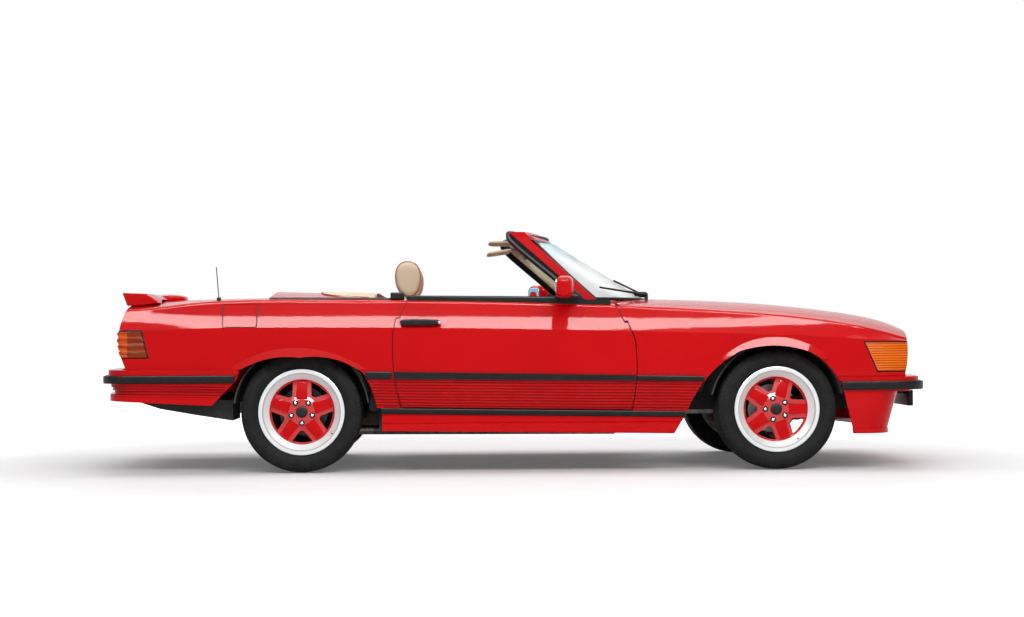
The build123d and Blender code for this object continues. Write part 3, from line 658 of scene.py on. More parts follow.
@dataclass(frozen=True)
class Tyre(Finish):
    """Tyre rubber: sidewall rings and a blocked tread, worked out about the wheel's axle."""

    name: str = "tyre_rubber"
    centre: Point = (0, 0, 0)
    colour: Colour = (0.007, 0.007, 0.007)
    dusty: Colour = (0.020, 0.018, 0.017)
    track: float = 0.026
    blocks: float = 84.0
    slant: float = 22.0
    crown: tuple[float, float] = (0.3045, 0.3060)
    inner: tuple[float, float] = (0.228, 0.252)
    outer: tuple[float, float] = (0.279, 0.288)

    def build(self, shader: Shader) -> bpy.types.Material:
        """Rings on the wall, grooves and sipes on the tread.

        Args:
            shader: an empty shader.

        Returns:
            The material.
        """
        _, x, y, z = shader.place(self.centre)
        radius = (x * x + z * z).calc("SQRT")
        turn = z.calc("ARCTAN2", x) * (1.0 / (2 * math.pi))
        crown = radius.step(*self.crown)
        across = y.calc("ABSOLUTE")
        tracks = (across * (1 / self.track) + 0.45).ridge().step(0.38, 0.44)
        sipes = (turn * self.blocks + y * self.slant).ridge().step(0.40, 0.45)
        shoulder = (turn * self.blocks).ridge().step(0.36, 0.43) * across.step(0.086, 0.09)
        blocks = tracks.calc("MAXIMUM", sipes * 0.7) * crown
        shoulder_cut = shoulder * radius.step(0.292, 0.298)
        rings = (radius * 210.0).ridge().step(0.1, 0.4)
        bands = [(radius > low) * (radius < high) for low, high in (self.inner, self.outer)]
        height = 1.0 - blocks.calc("MAXIMUM", shoulder_cut)
        tread = shader.relief(height, 0.007)
        wall = shader.relief(rings * (bands[0] + bands[1]), 0.0008, tread)
        dust = shader.noise(22.0, 5.0)
        return shader.finish(
            Base_Color=shader.blend(dust.step(0.35, 0.75) * 0.6, self.colour, self.dusty),
            Roughness=0.62 + dust * 0.2,
            Specular_IOR_Level=0.12,
            Normal=wall,
        )


@dataclass(frozen=True)
class Lens(Finish):
    """A moulded lamp lens: ribs, two or three coloured fields and a black seal at its edges."""

    name: str = "lens"
    fields: tuple[tuple[float, Colour], ...] = ()
    pitch: float = 0.0125
    depth: float = 0.003
    seal_low: float = -1.0
    seal_high: float = 2.0
    edge: tuple[float, float, float] = (0.0, 0.0, 1.0)

    def build(self, shader: Shader) -> bpy.types.Material:
        """Fields along X, ribs along Z with painted shade between, seal round the outline, faint painted
        glow.

        Args:
            shader: an empty shader.

        Returns:
            The material.
        """
        _, x, _, z = shader.place()
        rib = (z / self.pitch).ridge() * 2.0
        fine = ((x / 0.004).ridge() * 2.0).step(0.2, 0.8)
        colour: Value = self.fields[0][1]
        for start, shade in self.fields[1:]:
            colour = shader.blend(x.step(start - 0.002, start + 0.002), colour, shade)
        shadow = rib.step(0.35, 0.95) * 0.55 + fine * 0.12
        darker = shader.blend(shadow, colour, (0.10, 0.012, 0.002))
        line = x * self.edge[0] + z * self.edge[1] + self.edge[2]
        foot = 1.0 - z.step(self.seal_low, self.seal_low + 0.001)
        head = z.step(self.seal_high - 0.001, self.seal_high)
        seal = (1.0 - line.step(0.006, 0.0075)).calc("MAXIMUM", foot).calc("MAXIMUM", head)
        # Painted glow: the unlit lens emits a little of its own colour so that it reads richer.
        glow = shader.blend(seal, darker, BLACK)
        return shader.finish(
            Base_Color=shader.blend(seal, darker, (0.012, 0.012, 0.012)),
            Emission_Color=glow,
            Emission_Strength=0.16,
            Roughness=0.30 + seal * 0.2,
            Specular_IOR_Level=0.08,
            Coat_Weight=(1.0 - seal) * 0.04,
            Coat_Roughness=0.05,
            Normal=shader.relief(rib * (1.0 - seal), self.depth),
        )


BLACK = (0.0, 0.0, 0.0)
WHITE = (1.0, 1.0, 1.0)
PAINT = Paint()
RIBBED = RibbedPaint()
APRON = RibbedPaint("gloss_paint_apron", depth=0.0020, rear=-2.15, front=-1.50, span=(0.30, 0.70))
FRAME_PAINT = FramePaint()
RUBBER = Rubber()
TRIM = Rubber("grained_plastic", (0.009, 0.009, 0.010), rough=0.42, grain=900.0, depth=0.0002)
SEAL = Rubber("soft_seal", (0.006, 0.006, 0.007), (0.020, 0.020, 0.021), 0.34)
POLISHED = Metal("polished_rim", (0.86, 0.86, 0.86), (0.74, 0.74, 0.74), 0.10)
STEEL = Metal("worn_steel", (0.48, 0.46, 0.44), (0.22, 0.18, 0.15), 0.36)
ALLOY = Metal("cast_alloy", (0.42, 0.42, 0.41), (0.24, 0.23, 0.22), 0.48, (1, 1, 1))
IRON = Metal("cast_iron", (0.06, 0.058, 0.055), (0.10, 0.07, 0.05), 0.62, (1, 1, 1))
UNDERSEAL = Underseal()
GLASS = Glass()
LEATHER = Leather()
PIPING = Leather("red_piping", (0.42, 0.015, 0.015), (0.28, 0.008, 0.008))
CARPET = Carpet()
MIRROR = Metal("mirror_glass", (0.34, 0.64, 0.84), (0.30, 0.58, 0.78), 0.03, depth=0.0)
AMBER = (0.86, 0.15, 0.002)
CLEAR = (0.82, 0.84, 0.84)
ORANGE = (0.72, 0.09, 0.010)
RED_LENS = (0.28, 0.036, 0.003)
FRONT_LENS = Lens(
    name="front_lens",
    fields=((0.0, AMBER), (2.030, CLEAR)),
    seal_low=0.5085,
    seal_high=0.6555,
    edge=(0.913, 0.407, -1.8985),
)
TAIL_LENS = Lens(
    name="tail_lens",
    fields=((-3.0, ORANGE), (-2.000, RED_LENS)),
    pitch=0.0345,
    depth=0.006,
    seal_low=0.5985,
    seal_high=0.7305,
    edge=(-0.972, -0.236, -1.6985),
)
HIGH_LENS = Lens("brake_lens", ((0.0, (0.55, 0.008, 0.004)),), pitch=0.005, depth=0.001)


# ---------------------------------------------------------------- mesh help


def piece_from(
    bm: bmesh.types.BMesh, name: str, body: str, finish: Finish, smooth: float = 35.0
) -> bpy.types.Object:
    """Turn a finished bmesh into a dressed piece that rides on a body.

    Args:
        bm: the mesh, which is freed.
        name: the piece's name.
        body: the CAD body that carries it.
        finish: its finish.
        smooth: edges sharper than this stay crisp, in degrees.

    Returns:
        The piece.
    """
    bmesh.ops.remove_doubles(bm, verts=bm.verts, dist=1e-6)
    bmesh.ops.recalc_face_normals(bm, faces=bm.faces)
    mesh = bpy.data.meshes.new(name)
    bm.to_mesh(mesh)
    bm.free()
    piece = bpy.data.objects.new(name, mesh)
    bpy.context.scene.collection.objects.link(piece)
    mesh.shade_smooth()
    mesh.set_sharp_from_angle(angle=math.radians(smooth))
    finish.dress(piece)
    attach(piece, body)
    LOG.info("%s rides on %s with %d faces", name, body, len(mesh.polygons))
    return piece


# ---------------------------------------------------------------- body


@dataclass
class CoachWork:
    """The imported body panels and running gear, dressed in their finishes."""

    groups: tuple[tuple[Finish, str], ...] = (
        (UNDERSEAL, "underbody"),
        (RIBBED, "front_fenders rear_body door_right door_left"),
        (PAINT, "fuel_flap sills nose_panel front_bumper mirror_right mirror_left"),
        (PAINT, "bonnet boot_lid spoiler soft_top_cover"),
        (FRAME_PAINT, "screen_frame"),
        (APRON, "rear_bumper"),
        (GLASS, "windscreen_glass"),
        (FRONT_LENS, "front_lamps"),
        (TAIL_LENS, "tail_lamps"),
        (RUBBER, "body_strips door_trim_right door_trim_left"),
        (TRIM, "grille dashboard aerial wipers steering_wheel"),
        (LEATHER, "sun_visors seats"),
        (CARPET, "rear_trim"),
        (ALLOY, "engine_block"),
        (STEEL, "exhaust"),
        (IRON, "front_suspension rear_axle knuckle_right knuckle_left"),
    )
    disc: Colour = (0.50, 0.49, 0.48)
    shaded_disc: Colour = (0.05, 0.048, 0.046)

    def dress(self) -> None:
        """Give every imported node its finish."""
        for finish, names in self.groups:
            for name in names.split():
                finish.dress(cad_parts[name])
        for corner in Corner:
            centre = tuple(corner.centre)
            rubber = Tyre("tyre_rubber_" + corner.label, centre)
            rubber.dress(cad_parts["tyre_" + corner.label])
            iron = self.disc if corner.steers else self.shaded_disc
            rim = RimFinish("rim_" + corner.label, centre=centre, out=float(corner.sign), iron=iron)
            rim.dress(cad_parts["rim_" + corner.label])
        LOG.info("dressed %d packed nodes", len(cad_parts))


# ---------------------------------------------------------------- soft and fitted pieces


def rounded(
    bm: bmesh.types.BMesh, edges: Sequence[bmesh.types.BMEdge], width: float, segments: int = 3
) -> None:
    """Round some edges of a mesh by a width, in a number of strips."""
    settings = {"profile": 0.5, "affect": "EDGES", "clamp_overlap": True, "material": -1}
    bmesh.ops.bevel(bm, geom=edges, offset=width, segments=segments, **settings)


def loft(rings: Sequence[Sequence[Point]]) -> bmesh.types.BMesh:
    """Skin a row of closed rings and cap both ends.

    Args:
        rings: the points of each ring.

    Returns:
        The closed mesh.
    """
    bm = bmesh.new()
    rows = []
    for ring in rings:
        verts = [bm.verts.new(point) for point in ring]
        rows.append([bm.edges.new((a, b)) for a, b in zip(verts, verts[1:] + verts[:1])])
    for first, second in zip(rows, rows[1:]):
        bmesh.ops.bridge_loops(bm, edges=first + second)
    for end in (rows[0], rows[-1]):
        bmesh.ops.edgeloop_fill(bm, edges=end)
    bmesh.ops.recalc_face_normals(bm, faces=bm.faces)
    return bm


def strand(
    name: str, points: Sequence[Point], radius: float, body: str, finish: Finish, closed: bool = False
) -> bpy.types.Object:
    """A round bead, seal or rod along a smooth line.

    Args:
        name: the piece's name.
        points: points that the line follows.
        radius: its radius.
        body: the CAD body that carries it.
        finish: its finish.
        closed: whether the line closes on itself.

    Returns:
        The piece.
    """
    curve = bpy.data.curves.new(name, "CURVE")
    curve.dimensions = "3D"
    curve.bevel_depth = radius
    curve.bevel_resolution = 2
    curve.resolution_u = 4
    curve.use_fill_caps = True
    line = curve.splines.new("NURBS")
    line.points.add(len(points) - 1)
    for spot, point in zip(line.points, points):
        spot.co = (*point, 1.0)
    line.use_cyclic_u = closed
    line.order_u = 3
    line.use_endpoint_u = not closed
    carrier = bpy.data.objects.new(name + "_line", curve)
    mesh = bpy.data.meshes.new_from_object(carrier)
    bpy.data.objects.remove(carrier)
    bm = bmesh.new()
    bm.from_mesh(mesh)
    bpy.data.meshes.remove(mesh)
    return piece_from(bm, name, body, finish, 60.0)


@dataclass
class Pad:
    """A crowned, rounded form: a cushion, a roll, a mirror shell or a grip."""

    name: str
    body: str
    centre: Point
    half: Point
    finish: Finish
    outline: float = 5.0
    edge: float = 7.0
    crown: float = 0.0
    channels: int = 0
    depth: float = 0.006
    lean: float = 0.0
    taper: float = 0.0
    soft: bool = False
    cuts: int = 11

    @classmethod
    def on(
        cls, side: Side, name: str, body: str, centre: Point, half: Point, finish: Finish, **more: float
    ) -> "Pad":
        """A pad on one side of the car, its centre given for the left; its name ends with the side's."""
        return cls(f"{name}_{side.label}", body, side.place(*centre), half, finish, **more)

    def shaped(self, co: Vector) -> Vector:
        """Where a corner of the unit cube's grid goes.

        Args:
            co: place in the cube, each way from -1 to 1.

        Returns:
            The place in the car.
        """
        u, v, w = co
        flat = max(abs(u), abs(w), TINY)
        corner = (abs(u) ** self.outline + abs(w) ** self.outline) ** (1 / self.outline) or TINY
        u, w = u * flat / corner, w * flat / corner
        most = max(flat, abs(v))
        corner = (flat**self.edge + abs(v) ** self.edge) ** (1 / self.edge)
        u, v, w = (c * most / corner for c in (u, v, w))
        x, y, z = (c * h for c, h in zip((u, v, w), self.half))
        upright = self.half[0] < self.half[2]
        along, face = (w, u) if upright else (u, w)
        swell = self.crown * (1 - v * v) * (1 - along * along)
        if self.channels and abs(along) < SEAM_END:
            seam = abs(math.cos(math.pi * self.channels * along / 2)) ** SEAM_SHARPNESS
            swell -= self.depth * seam * (1 - v**6)
        if upright:
            x += swell * face
        else:
            z += swell * face
        x *= 1 - self.taper * w
        return Vector(self.centre) + Vector((x + self.lean * z, y, z))

    def build(self) -> bpy.types.Object:
        """Make the piece.

        Returns:
            The piece.
        """
        bm = bmesh.new()
        bmesh.ops.create_cube(bm, size=2.0)
        bmesh.ops.subdivide_edges(bm, edges=bm.edges, cuts=self.cuts, use_grid_fill=True)
        for vert in bm.verts:
            vert.co = self.shaped(vert.co)
        piece = piece_from(bm, self.name, self.body, self.finish, 60.0)
        if self.soft:
            round_off = piece.modifiers.new("smooth", "SUBSURF")
            round_off.levels = round_off.render_levels = 1
        return piece

    def border(self, name: str, side: float, radius: float, finish: Finish) -> bpy.types.Object:
        """Piping round the outline at one end of the pad.

        Args:
            name: the piping's name.
            side: place along Y, from -1 to 1.
            radius: its radius.
            finish: its finish.

        Returns:
            The piping.
        """
        points = []
        for step in range(32):
            turn = 2 * math.pi * step / 32
            c, s = math.cos(turn), math.sin(turn)
            reach = 1 / max(abs(c), abs(s))
            points.append(tuple(self.shaped(Vector((c * reach, side, s * reach)))))
        return strand(name, points, radius, self.body, finish, closed=True)


# ---------------------------------------------------------------- wheels


@dataclass(frozen=True)
class RimFinish(Paint):
    """Red star inside a polished lip, with the turned brake disc behind it."""

    name: str = "rim"
    centre: Point = (0, 0, 0)
    out: float = 1.0
    star: float = 0.1685
    groove: float = 0.1985
    lip: Colour = (0.80, 0.86, 0.86)
    iron: Colour = (0.50, 0.49, 0.48)

    def build(self, shader: Shader) -> bpy.types.Material:
        """Fields by distance from the axle and depth.

        Args:
            shader: an empty shader.

        Returns:
            The material.
        """
        _, x, y, z = shader.place(self.centre)
        radius = (x * x + z * z).calc("SQRT")
        depth = y * self.out
        painted = (radius < self.star) * (depth > 0.018)
        dust = shader.noise(38.0, 5.0)
        stain = shader.noise(14.0, 4.0)
        ring = (radius * 1400.0).ridge() * 2.0 * (1.0 - painted)
        bare = shader.blend(depth.step(-0.02, 0.0), self.iron, self.lip)
        # Painted shade: the turned groove in the lip is darkened to grey.
        groove = (radius - self.groove).calc("ABSOLUTE").step(0.0, 0.0012)
        bare = shader.blend(groove, (0.30, 0.29, 0.30), bare)
        return shader.finish(
            Base_Color=shader.blend(painted, bare, self.colour),
            Metallic=(1.0 - painted) * 0.25,
            Roughness=0.27 + dust * 0.08 + stain * 0.06 + painted * 0.06,
            Coat_Weight=painted * 0.5,
            Coat_Roughness=0.04,
            Normal=shader.relief(ring + groove * 8.0, 0.000012),
        )


@dataclass
class Wheel:
    """Dress for one wheel: raised spoke panels, nuts, a blank cap and a valve.

    The turned profiles give radius and place outward from the hub's face.
    """

    corner: Corner
    pitch: float = 0.0565
    valve_reach: float = 0.190
    valve_turn: float = -126.0
    face: float = 0.0800
    sunk: float = 0.004
    proud: float = 0.0052
    spoke: tuple[Point, ...] = ((0.068, 0.030, 0.0745), (0.110, 0.027, 0.0650), (0.158, 0.0245, 0.0530))
    cap: Profile = ((0.0, 0.003), (0.024, 0.003), (0.0285, 0.001), (0.0315, -0.003), (0.0325, -0.012))
    well: Profile = (
        (0.0137, -0.0060),
        (0.0150, -0.0060),
        (0.0150, -0.0015),
        (0.0125, -0.0015),
        (0.0125, -0.0100),
    )
    dome: Profile = (
        (0.0000, 0.0040),
        (0.0040, 0.0035),
        (0.0075, 0.0010),
        (0.0092, -0.0030),
        (0.0094, -0.0090),
        (0.0125, -0.0100),
    )
    valve: Profile = ((0.0, 0.010), (0.0022, 0.010), (0.0026, 0.006), (0.004, 0.004), (0.0045, -0.010))

    def spot(self, radius: float, turn: float, out: float) -> Vector:
        """A place on the wheel.

        Args:
            radius: distance from the axle.
            turn: angle about it, in degrees from ahead, upwards.
            out: distance outward from the wheel's middle.

        Returns:
            The place in the car.
        """
        angle = math.radians(turn)
        around = Vector((math.cos(angle), 0, math.sin(angle)))
        return self.corner.centre + radius * around + Vector((0, self.corner.sign * out, 0))

    def panels(self) -> None:
        """Five raised, bevelled spoke panels, as one piece."""
        bm = bmesh.new()
        for k in range(SPOKES):
            rings = []
            for radius, half, out in self.spoke:
                lean = math.degrees(math.atan2(half, radius))
                reach = math.hypot(radius, half)
                turn = self.corner.first + 360 / SPOKES * k
                ring = ((-lean, -self.sunk), (lean, -self.sunk), (lean, self.proud), (-lean, self.proud))
                rings.append([self.spot(reach, turn + side, out + lift) for side, lift in ring])
            spoke = loft(rings)
            rounded(spoke, [e for e in spoke.edges if e.calc_face_angle(0.0) > 0.5], 0.0036, 2)
            mesh = bpy.data.meshes.new("spoke")
            spoke.to_mesh(mesh)
            spoke.free()
            bm.from_mesh(mesh)
            bpy.data.meshes.remove(mesh)
        piece_from(bm, "spoke_panels_" + self.corner.label, self.corner.body, PAINT, 40.0)

    def turned(
        self, name: str, rows: Profile, radius: float, turn: float, finish: Finish, steps: int = 20
    ) -> None:
        """A turned piece whose axis is parallel to the axle.

        Args:
            name: its name.
            rows: radius and place outward from the hub's face.
            radius: distance of its axis from the axle.
            turn: angle of that axis about the axle.
            finish: its finish.
            steps: divisions round it.
        """
        bm = bmesh.new()
        centre = self.spot(radius, turn, 0.0)
        verts = []
        for reach, out in rows:
            shift = (reach, self.corner.sign * (self.face + out), 0)
            verts.append(bm.verts.new(centre + Vector(shift)))
        geom = verts + [bm.edges.new(pair) for pair in zip(verts, verts[1:])]
        whole = {"axis": (0, 1, 0), "angle": 2 * math.pi, "use_merge": True}
        bmesh.ops.spin(bm, geom=geom, cent=centre, steps=steps, **whole)
        piece_from(bm, name, self.corner.body, finish, 40.0)

    def build(self) -> None:
        """Make all the pieces."""
        self.panels()
        label, first = self.corner.label, self.corner.first
        self.turned("blank_cap_" + label, self.cap, 0.0, 0.0, TRIM, 40)
        for k in range(SPOKES):
            turn = first + 360 / SPOKES * (k + 0.5)
            self.turned(f"nut_seat_{label}_{k}", self.well, self.pitch, turn, SEAL)
            self.turned(f"wheel_nut_{label}_{k}", self.dome, self.pitch, turn, POLISHED, 16)
        self.turned("valve_" + label, self.valve, self.valve_reach, first + self.valve_turn, SEAL, 12)


# ---------------------------------------------------------------- cockpit and trim


@dataclass
class Bow:
    """A line bowed across the car: height, place of its ends, half width and place of its middle."""

    z: float
    ends: float
    half: float
    middle: float

    def at(self, y: float, ahead: float = 0.0, up: float = 0.0) -> Point:
        """The point of the line above a place across the car.

        Args:
            y: place across the car.
            ahead: shift forward.
            up: shift upward.

        Returns:
            The point.
        """
        rise = self.middle - self.ends
        radius = (self.half**2 + rise**2) / (2 * rise)
        return (self.middle - radius + math.sqrt(radius**2 - y**2) + ahead, y, self.z + up)


@dataclass
class Windscreen:
    """Seals, inner trim, visors and the inner mirror round the windscreen."""

    low: Bow = field(default_factory=lambda: Bow(0.893, 0.404, 0.640, 0.736))
    high: Bow = field(default_factory=lambda: Bow(1.226, 0.060, 0.562, 0.192))
    glass_edge: Line = ((0.074, 0.570, 1.226), (0.232, 0.609, 1.0595), (0.418, 0.648, 0.893))
    frame_back: Line = (
        (0.356, 0.676, 0.872),
        (0.142, 0.637, 1.050),
        (-0.036, 0.606, 1.200),
        (-0.042, 0.592, 1.232),
        (-0.036, 0.560, 1.246),
        (0.012, 0.300, 1.250),
        (0.036, 0.0, 1.251),
    )
    pillar: tuple[Line, ...] = (
        ((0.362, 0.635, 0.880), (0.440, 0.618, 0.880)),
        ((-0.012, 0.556, 1.205), (0.052, 0.546, 1.205)),
    )
    visor_places: tuple[tuple[Side, Point, float, float], ...] = (
        (Side.RIGHT, (-0.068, 0.305, 1.199), 0.007, 0.0),
        (Side.LEFT, (-0.068, 0.305, 1.184), 0.009, 0.15),
    )

    def across(self, bow: Bow, ahead: float, up: float, wider: float = 0.0) -> list[Point]:
        """Points of a bow from right to left, moved ahead and up, and carried past its ends."""
        half = bow.half + wider
        return [bow.at(half * (k / 5 - 1), ahead, up) for k in range(11)]

    def seals(self) -> None:
        """Black beads at the glass edge and along the back of the frame."""
        top = self.across(self.high, 0.006, 0.004, 0.006)
        foot = self.across(self.low, 0.004, 0.0, 0.004)
        strand("glass_seal_top", top, 0.007, "chassis", SEAL)
        strand("glass_seal_foot", foot, 0.009, "chassis", SEAL)
        for side in Side:
            glass = [side.place(*point) for point in self.glass_edge]
            strand("glass_seal_" + side.label, glass, 0.0065, "chassis", SEAL)
        line = [Side.RIGHT.place(*point) for point in self.frame_back]
        line += [Side.LEFT.place(*point) for point in reversed(self.frame_back[:-1])]
        strand("frame_seal", line, 0.0135, "chassis", SEAL)

    def inner_trim(self) -> None:
        """Cream trim along the inside of both pillars."""
        for side in Side:
            rings = []
            for (back, outer, z), (front, inner, _) in self.pillar:
                ring = ((back, outer), (front, inner), (front, inner - 0.008), (back, outer - 0.016))
                rings.append([side.place(x, y, z) for x, y in ring])
            bm = loft(rings)
            rounded(bm, bm.edges[:], 0.003, 2)
            piece_from(bm, "pillar_trim_" + side.label, "chassis", LEATHER)

    def visors(self) -> None:
        """Two cream visors, red piping round the right one, the left one turned down a little."""
        for side, centre, thick, lean in self.visor_places:
            half, shape = (0.068, 0.195, thick), {"outline": 4.0, "edge": 9.0, "crown": 0.002}
            piece = Pad.on(side, "visor", "chassis", centre, half, LEATHER, **shape).build()
            for vert in piece.data.vertices:
                vert.co.z += vert.co.x * lean
            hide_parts("sun_visors")
        edge = ((0.0, -0.499), (-0.135, -0.49), (-0.137, -0.30), (-0.135, -0.12), (0.0, -0.111))
        strand("visor_piping", [(x, y, 1.198) for x, y in edge], 0.0028, "chassis", PIPING)

    def inner_mirror(self) -> None:
        """Dark inner mirror under the header."""
        place, half = (0.075, 0.0, 1.150), (0.013, 0.115, 0.026)
        Pad("inner_mirror", "chassis", place, half, TRIM, 5.0, 5.0).build()
        stem = [(0.085, 0, 1.155), (0.115, 0, 1.19), (0.120, 0, 1.212)]
        strand("inner_mirror_stem", stem, 0.006, "chassis", TRIM)

    def build(self) -> None:
        """Make all the pieces."""
        self.seals()
        self.inner_trim()
        self.visors()
        self.inner_mirror()


@dataclass
class Cockpit:
    """Seats with headrests and piping, the padded shelf behind them and what holds the roof cover."""

    bead: float = 0.0032
    cushion: dict[str, float] = field(
        default_factory=lambda: {"edge": 8.0, "crown": 0.016, "channels": 5, "cuts": 23, "soft": True}
    )
    back: dict[str, float] = field(
        default_factory=lambda: {"crown": 0.018, "channels": 7, "lean": -0.105, "cuts": 23, "soft": True}
    )
    rest: dict[str, float] = field(
        default_factory=lambda: {
            "outline": 2.4,
            "edge": 9.0,
            "crown": 0.006,
            "taper": -0.08,
            "lean": -0.02,
            "cuts": 15,
            "soft": True,
        }
    )
    shelf_front: float = -0.742
    shelf_half: float = 0.70
    cover_rear: float = -1.280
    cover_long: float = 0.543
    cover_half: float = 0.735

    def seat(self, side: Side) -> list[bpy.types.Object]:
        """One seat.

        Args:
            side: which seat.

        Returns:
            Its pieces.
        """
        label = side.label
        pads = [
            Pad.on(side, name, "chassis", centre, half, finish, **shape)
            for name, centre, half, finish, shape in (
                ("seat_base", (-0.250, 0.400, 0.345), (0.255, 0.225, 0.045), TRIM, {}),
                ("seat_cushion", (-0.245, 0.400, 0.415), (0.262, 0.238, 0.058), LEATHER, self.cushion),
                ("seat_back", (-0.522, 0.400, 0.625), (0.060, 0.232, 0.285), LEATHER, self.back),
                ("headrest", (-0.572, 0.385, 1.006), (0.066, 0.122, 0.095), LEATHER, self.rest),
            )
        ]
        made = [pad.build() for pad in pads]
        _, _, back, rest = pads
        for end, name in ((-0.93, "a"), (0.93, "b")):
            rest.border(f"headrest_piping_{label}_{name}", end, self.bead, PIPING)
        back.border("seat_piping_" + label, 0.93 * side.value, self.bead, PIPING)
        for y in (0.34, 0.43):
            posts = [side.place(-0.560, y, 0.86), side.place(-0.566, y, 0.94)]
            strand(f"headrest_post_{label}_{int(y * 100)}", posts, 0.006, "chassis", POLISHED)
        return made

    def shelf(self, across: float, back: float) -> Point:
        """A place on the crowned top of the roof cover, within the shelf's outline.

        Args:
            across: share of the half width, from -1 to 1.
            back: share of the depth behind the front edge.

        Returns:
            The place.
        """
        y = self.shelf_half * across
        x = self.shelf_front - (0.030 + 0.275 * math.sqrt(max(0.0, 1 - across**4))) * back
        share = (x - self.cover_rear) / self.cover_long
        edge, crown = 0.905 - 0.008 * share, 0.949 - 0.019 * share
        return (x, y, edge + (crown - edge) * (1 - (y / self.cover_half) ** 2))

    def padded_shelf(self) -> None:
        """Cream padded shelf on the front of the roof cover, edged with red piping."""
        bm = bmesh.new()
        bmesh.ops.create_grid(bm, x_segments=24, y_segments=36, size=1.0)
        for vert in bm.verts:
            u, v = vert.co.x, vert.co.y
            x, y, top = self.shelf(v, (1 - u) / 2)
            rim = min(1.0, 6 * (1 - abs(v)), 8 * (1 - abs(u)))
            vert.co = (x, y, top + 0.001 + 0.007 * math.sqrt(max(0.0, rim)))
        shelf = piece_from(bm, "padded_shelf", "hood_cover", LEATHER, 60.0)
        thick = shelf.modifiers.new("thickness", "SOLIDIFY")
        thick.thickness = 0.002
        rear = [Vector(self.shelf(k / 12 - 1, 1.0)) + Vector((0, 0, 0.003)) for k in range(25)]
        strand("shelf_piping", rear, 0.0035, "hood_cover", PIPING)

    def build(self) -> None:
        """Make all the pieces."""
        for piece in self.seat(Side.RIGHT) + self.seat(Side.LEFT):
            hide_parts("seats")
        self.padded_shelf()
        for side in Side:
            place, half = (-0.622, 0.752, 0.909), (0.036, 0.030, 0.019)
            Pad.on(side, "latch_block", "chassis", place, half, SEAL, outline=8, edge=8).build()
            seal = ((-1.285, 0.742, 0.897), (-1.000, 0.746, 0.896), (-0.650, 0.752, 0.892))
            line = [side.place(*point) for point in seal]
            strand("cover_seal_" + side.label, line, 0.0085, "chassis", SEAL)


@dataclass
class SideDress:
    """One side's door handle, mirror, quarter panel and waist seal, and what closes its rear arch."""

    side: Side
    mirror_x: float
    toe: float
    waist: Line = (
        (-0.575, 0.812, 0.901),
        (-0.200, 0.818, 0.897),
        (0.100, 0.822, 0.893),
        (0.310, 0.822, 0.889),
    )
    quarter: Profile = ((0.215, 0.892), (0.352, 0.884), (0.330, 0.905), (0.262, 0.972), (0.250, 0.972))

    def put(
        self, name: str, centre: Point, half: Point, finish: Finish, **more: float
    ) -> bpy.types.Object:
        """A pad on this side's door, its centre given for the left."""
        return Pad.on(self.side, name, self.side.label + "_door", centre, half, finish, **more).build()

    def handle(self) -> None:
        """The door handle: grip, tail and lock."""
        round_off = {"outline": 4.0, "edge": 5.0}
        self.put("handle_grip", (-0.512, 0.896, 0.7715), (0.094, 0.013, 0.0165), SEAL, **round_off)
        self.put("handle_tail", (-0.432, 0.896, 0.7695), (0.036, 0.010, 0.0090), SEAL, **round_off)
        self.put("handle_lock", (-0.404, 0.903, 0.7700), (0.007, 0.006, 0.0070), POLISHED, outline=2.0)

    def door_mirror(self) -> None:
        """The door mirror's shell, glass and foot, toed in towards the driver."""
        x, y, z = self.mirror_x, 0.965, 0.9485
        half = (0.044, 0.088, 0.0555)
        shell = self.put("mirror_shell", (x, y, z), half, PAINT, outline=3.6, edge=3.4, taper=0.06)
        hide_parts("mirror_" + self.side.label)
        half = (0.0045, 0.064, 0.0385)
        glass = self.put("mirror_glass", (x - 0.0385, y, z), half, MIRROR, outline=6.0, edge=6.0)
        toe = Matrix.Rotation(self.side.value * math.radians(self.toe), 4, "Z")
        pivot = Matrix.Translation(self.side.place(x, y, 0.0))
        for part in (shell, glass):
            part.data.transform(pivot @ toe @ pivot.inverted())
        half = (0.062, 0.034, 0.0125)
        self.put("mirror_foot", (0.250, 0.872, 0.8985), half, SEAL, outline=4.0, edge=5.0)

    def build(self) -> None:
        """Make all the pieces."""
        label = self.side.label
        self.handle()
        self.door_mirror()
        bm = loft([[self.side.place(x, y, z) for x, z in self.quarter] for y in (0.792, 0.822)])
        rounded(bm, [e for e in bm.edges if e.calc_face_angle(0.0) > 0.35], 0.004)
        piece_from(bm, "quarter_panel_" + label, label + "_door", SEAL)
        place, half = (-0.738, 0.745, 0.372), (0.034, 0.030, 0.060)
        Pad.on(self.side, "arch_closing", "chassis", place, half, UNDERSEAL, outline=6.0).build()
        waist = [self.side.place(*point) for point in self.waist]
        strand("waist_seal_" + label, waist, 0.0105, label + "_door", SEAL)


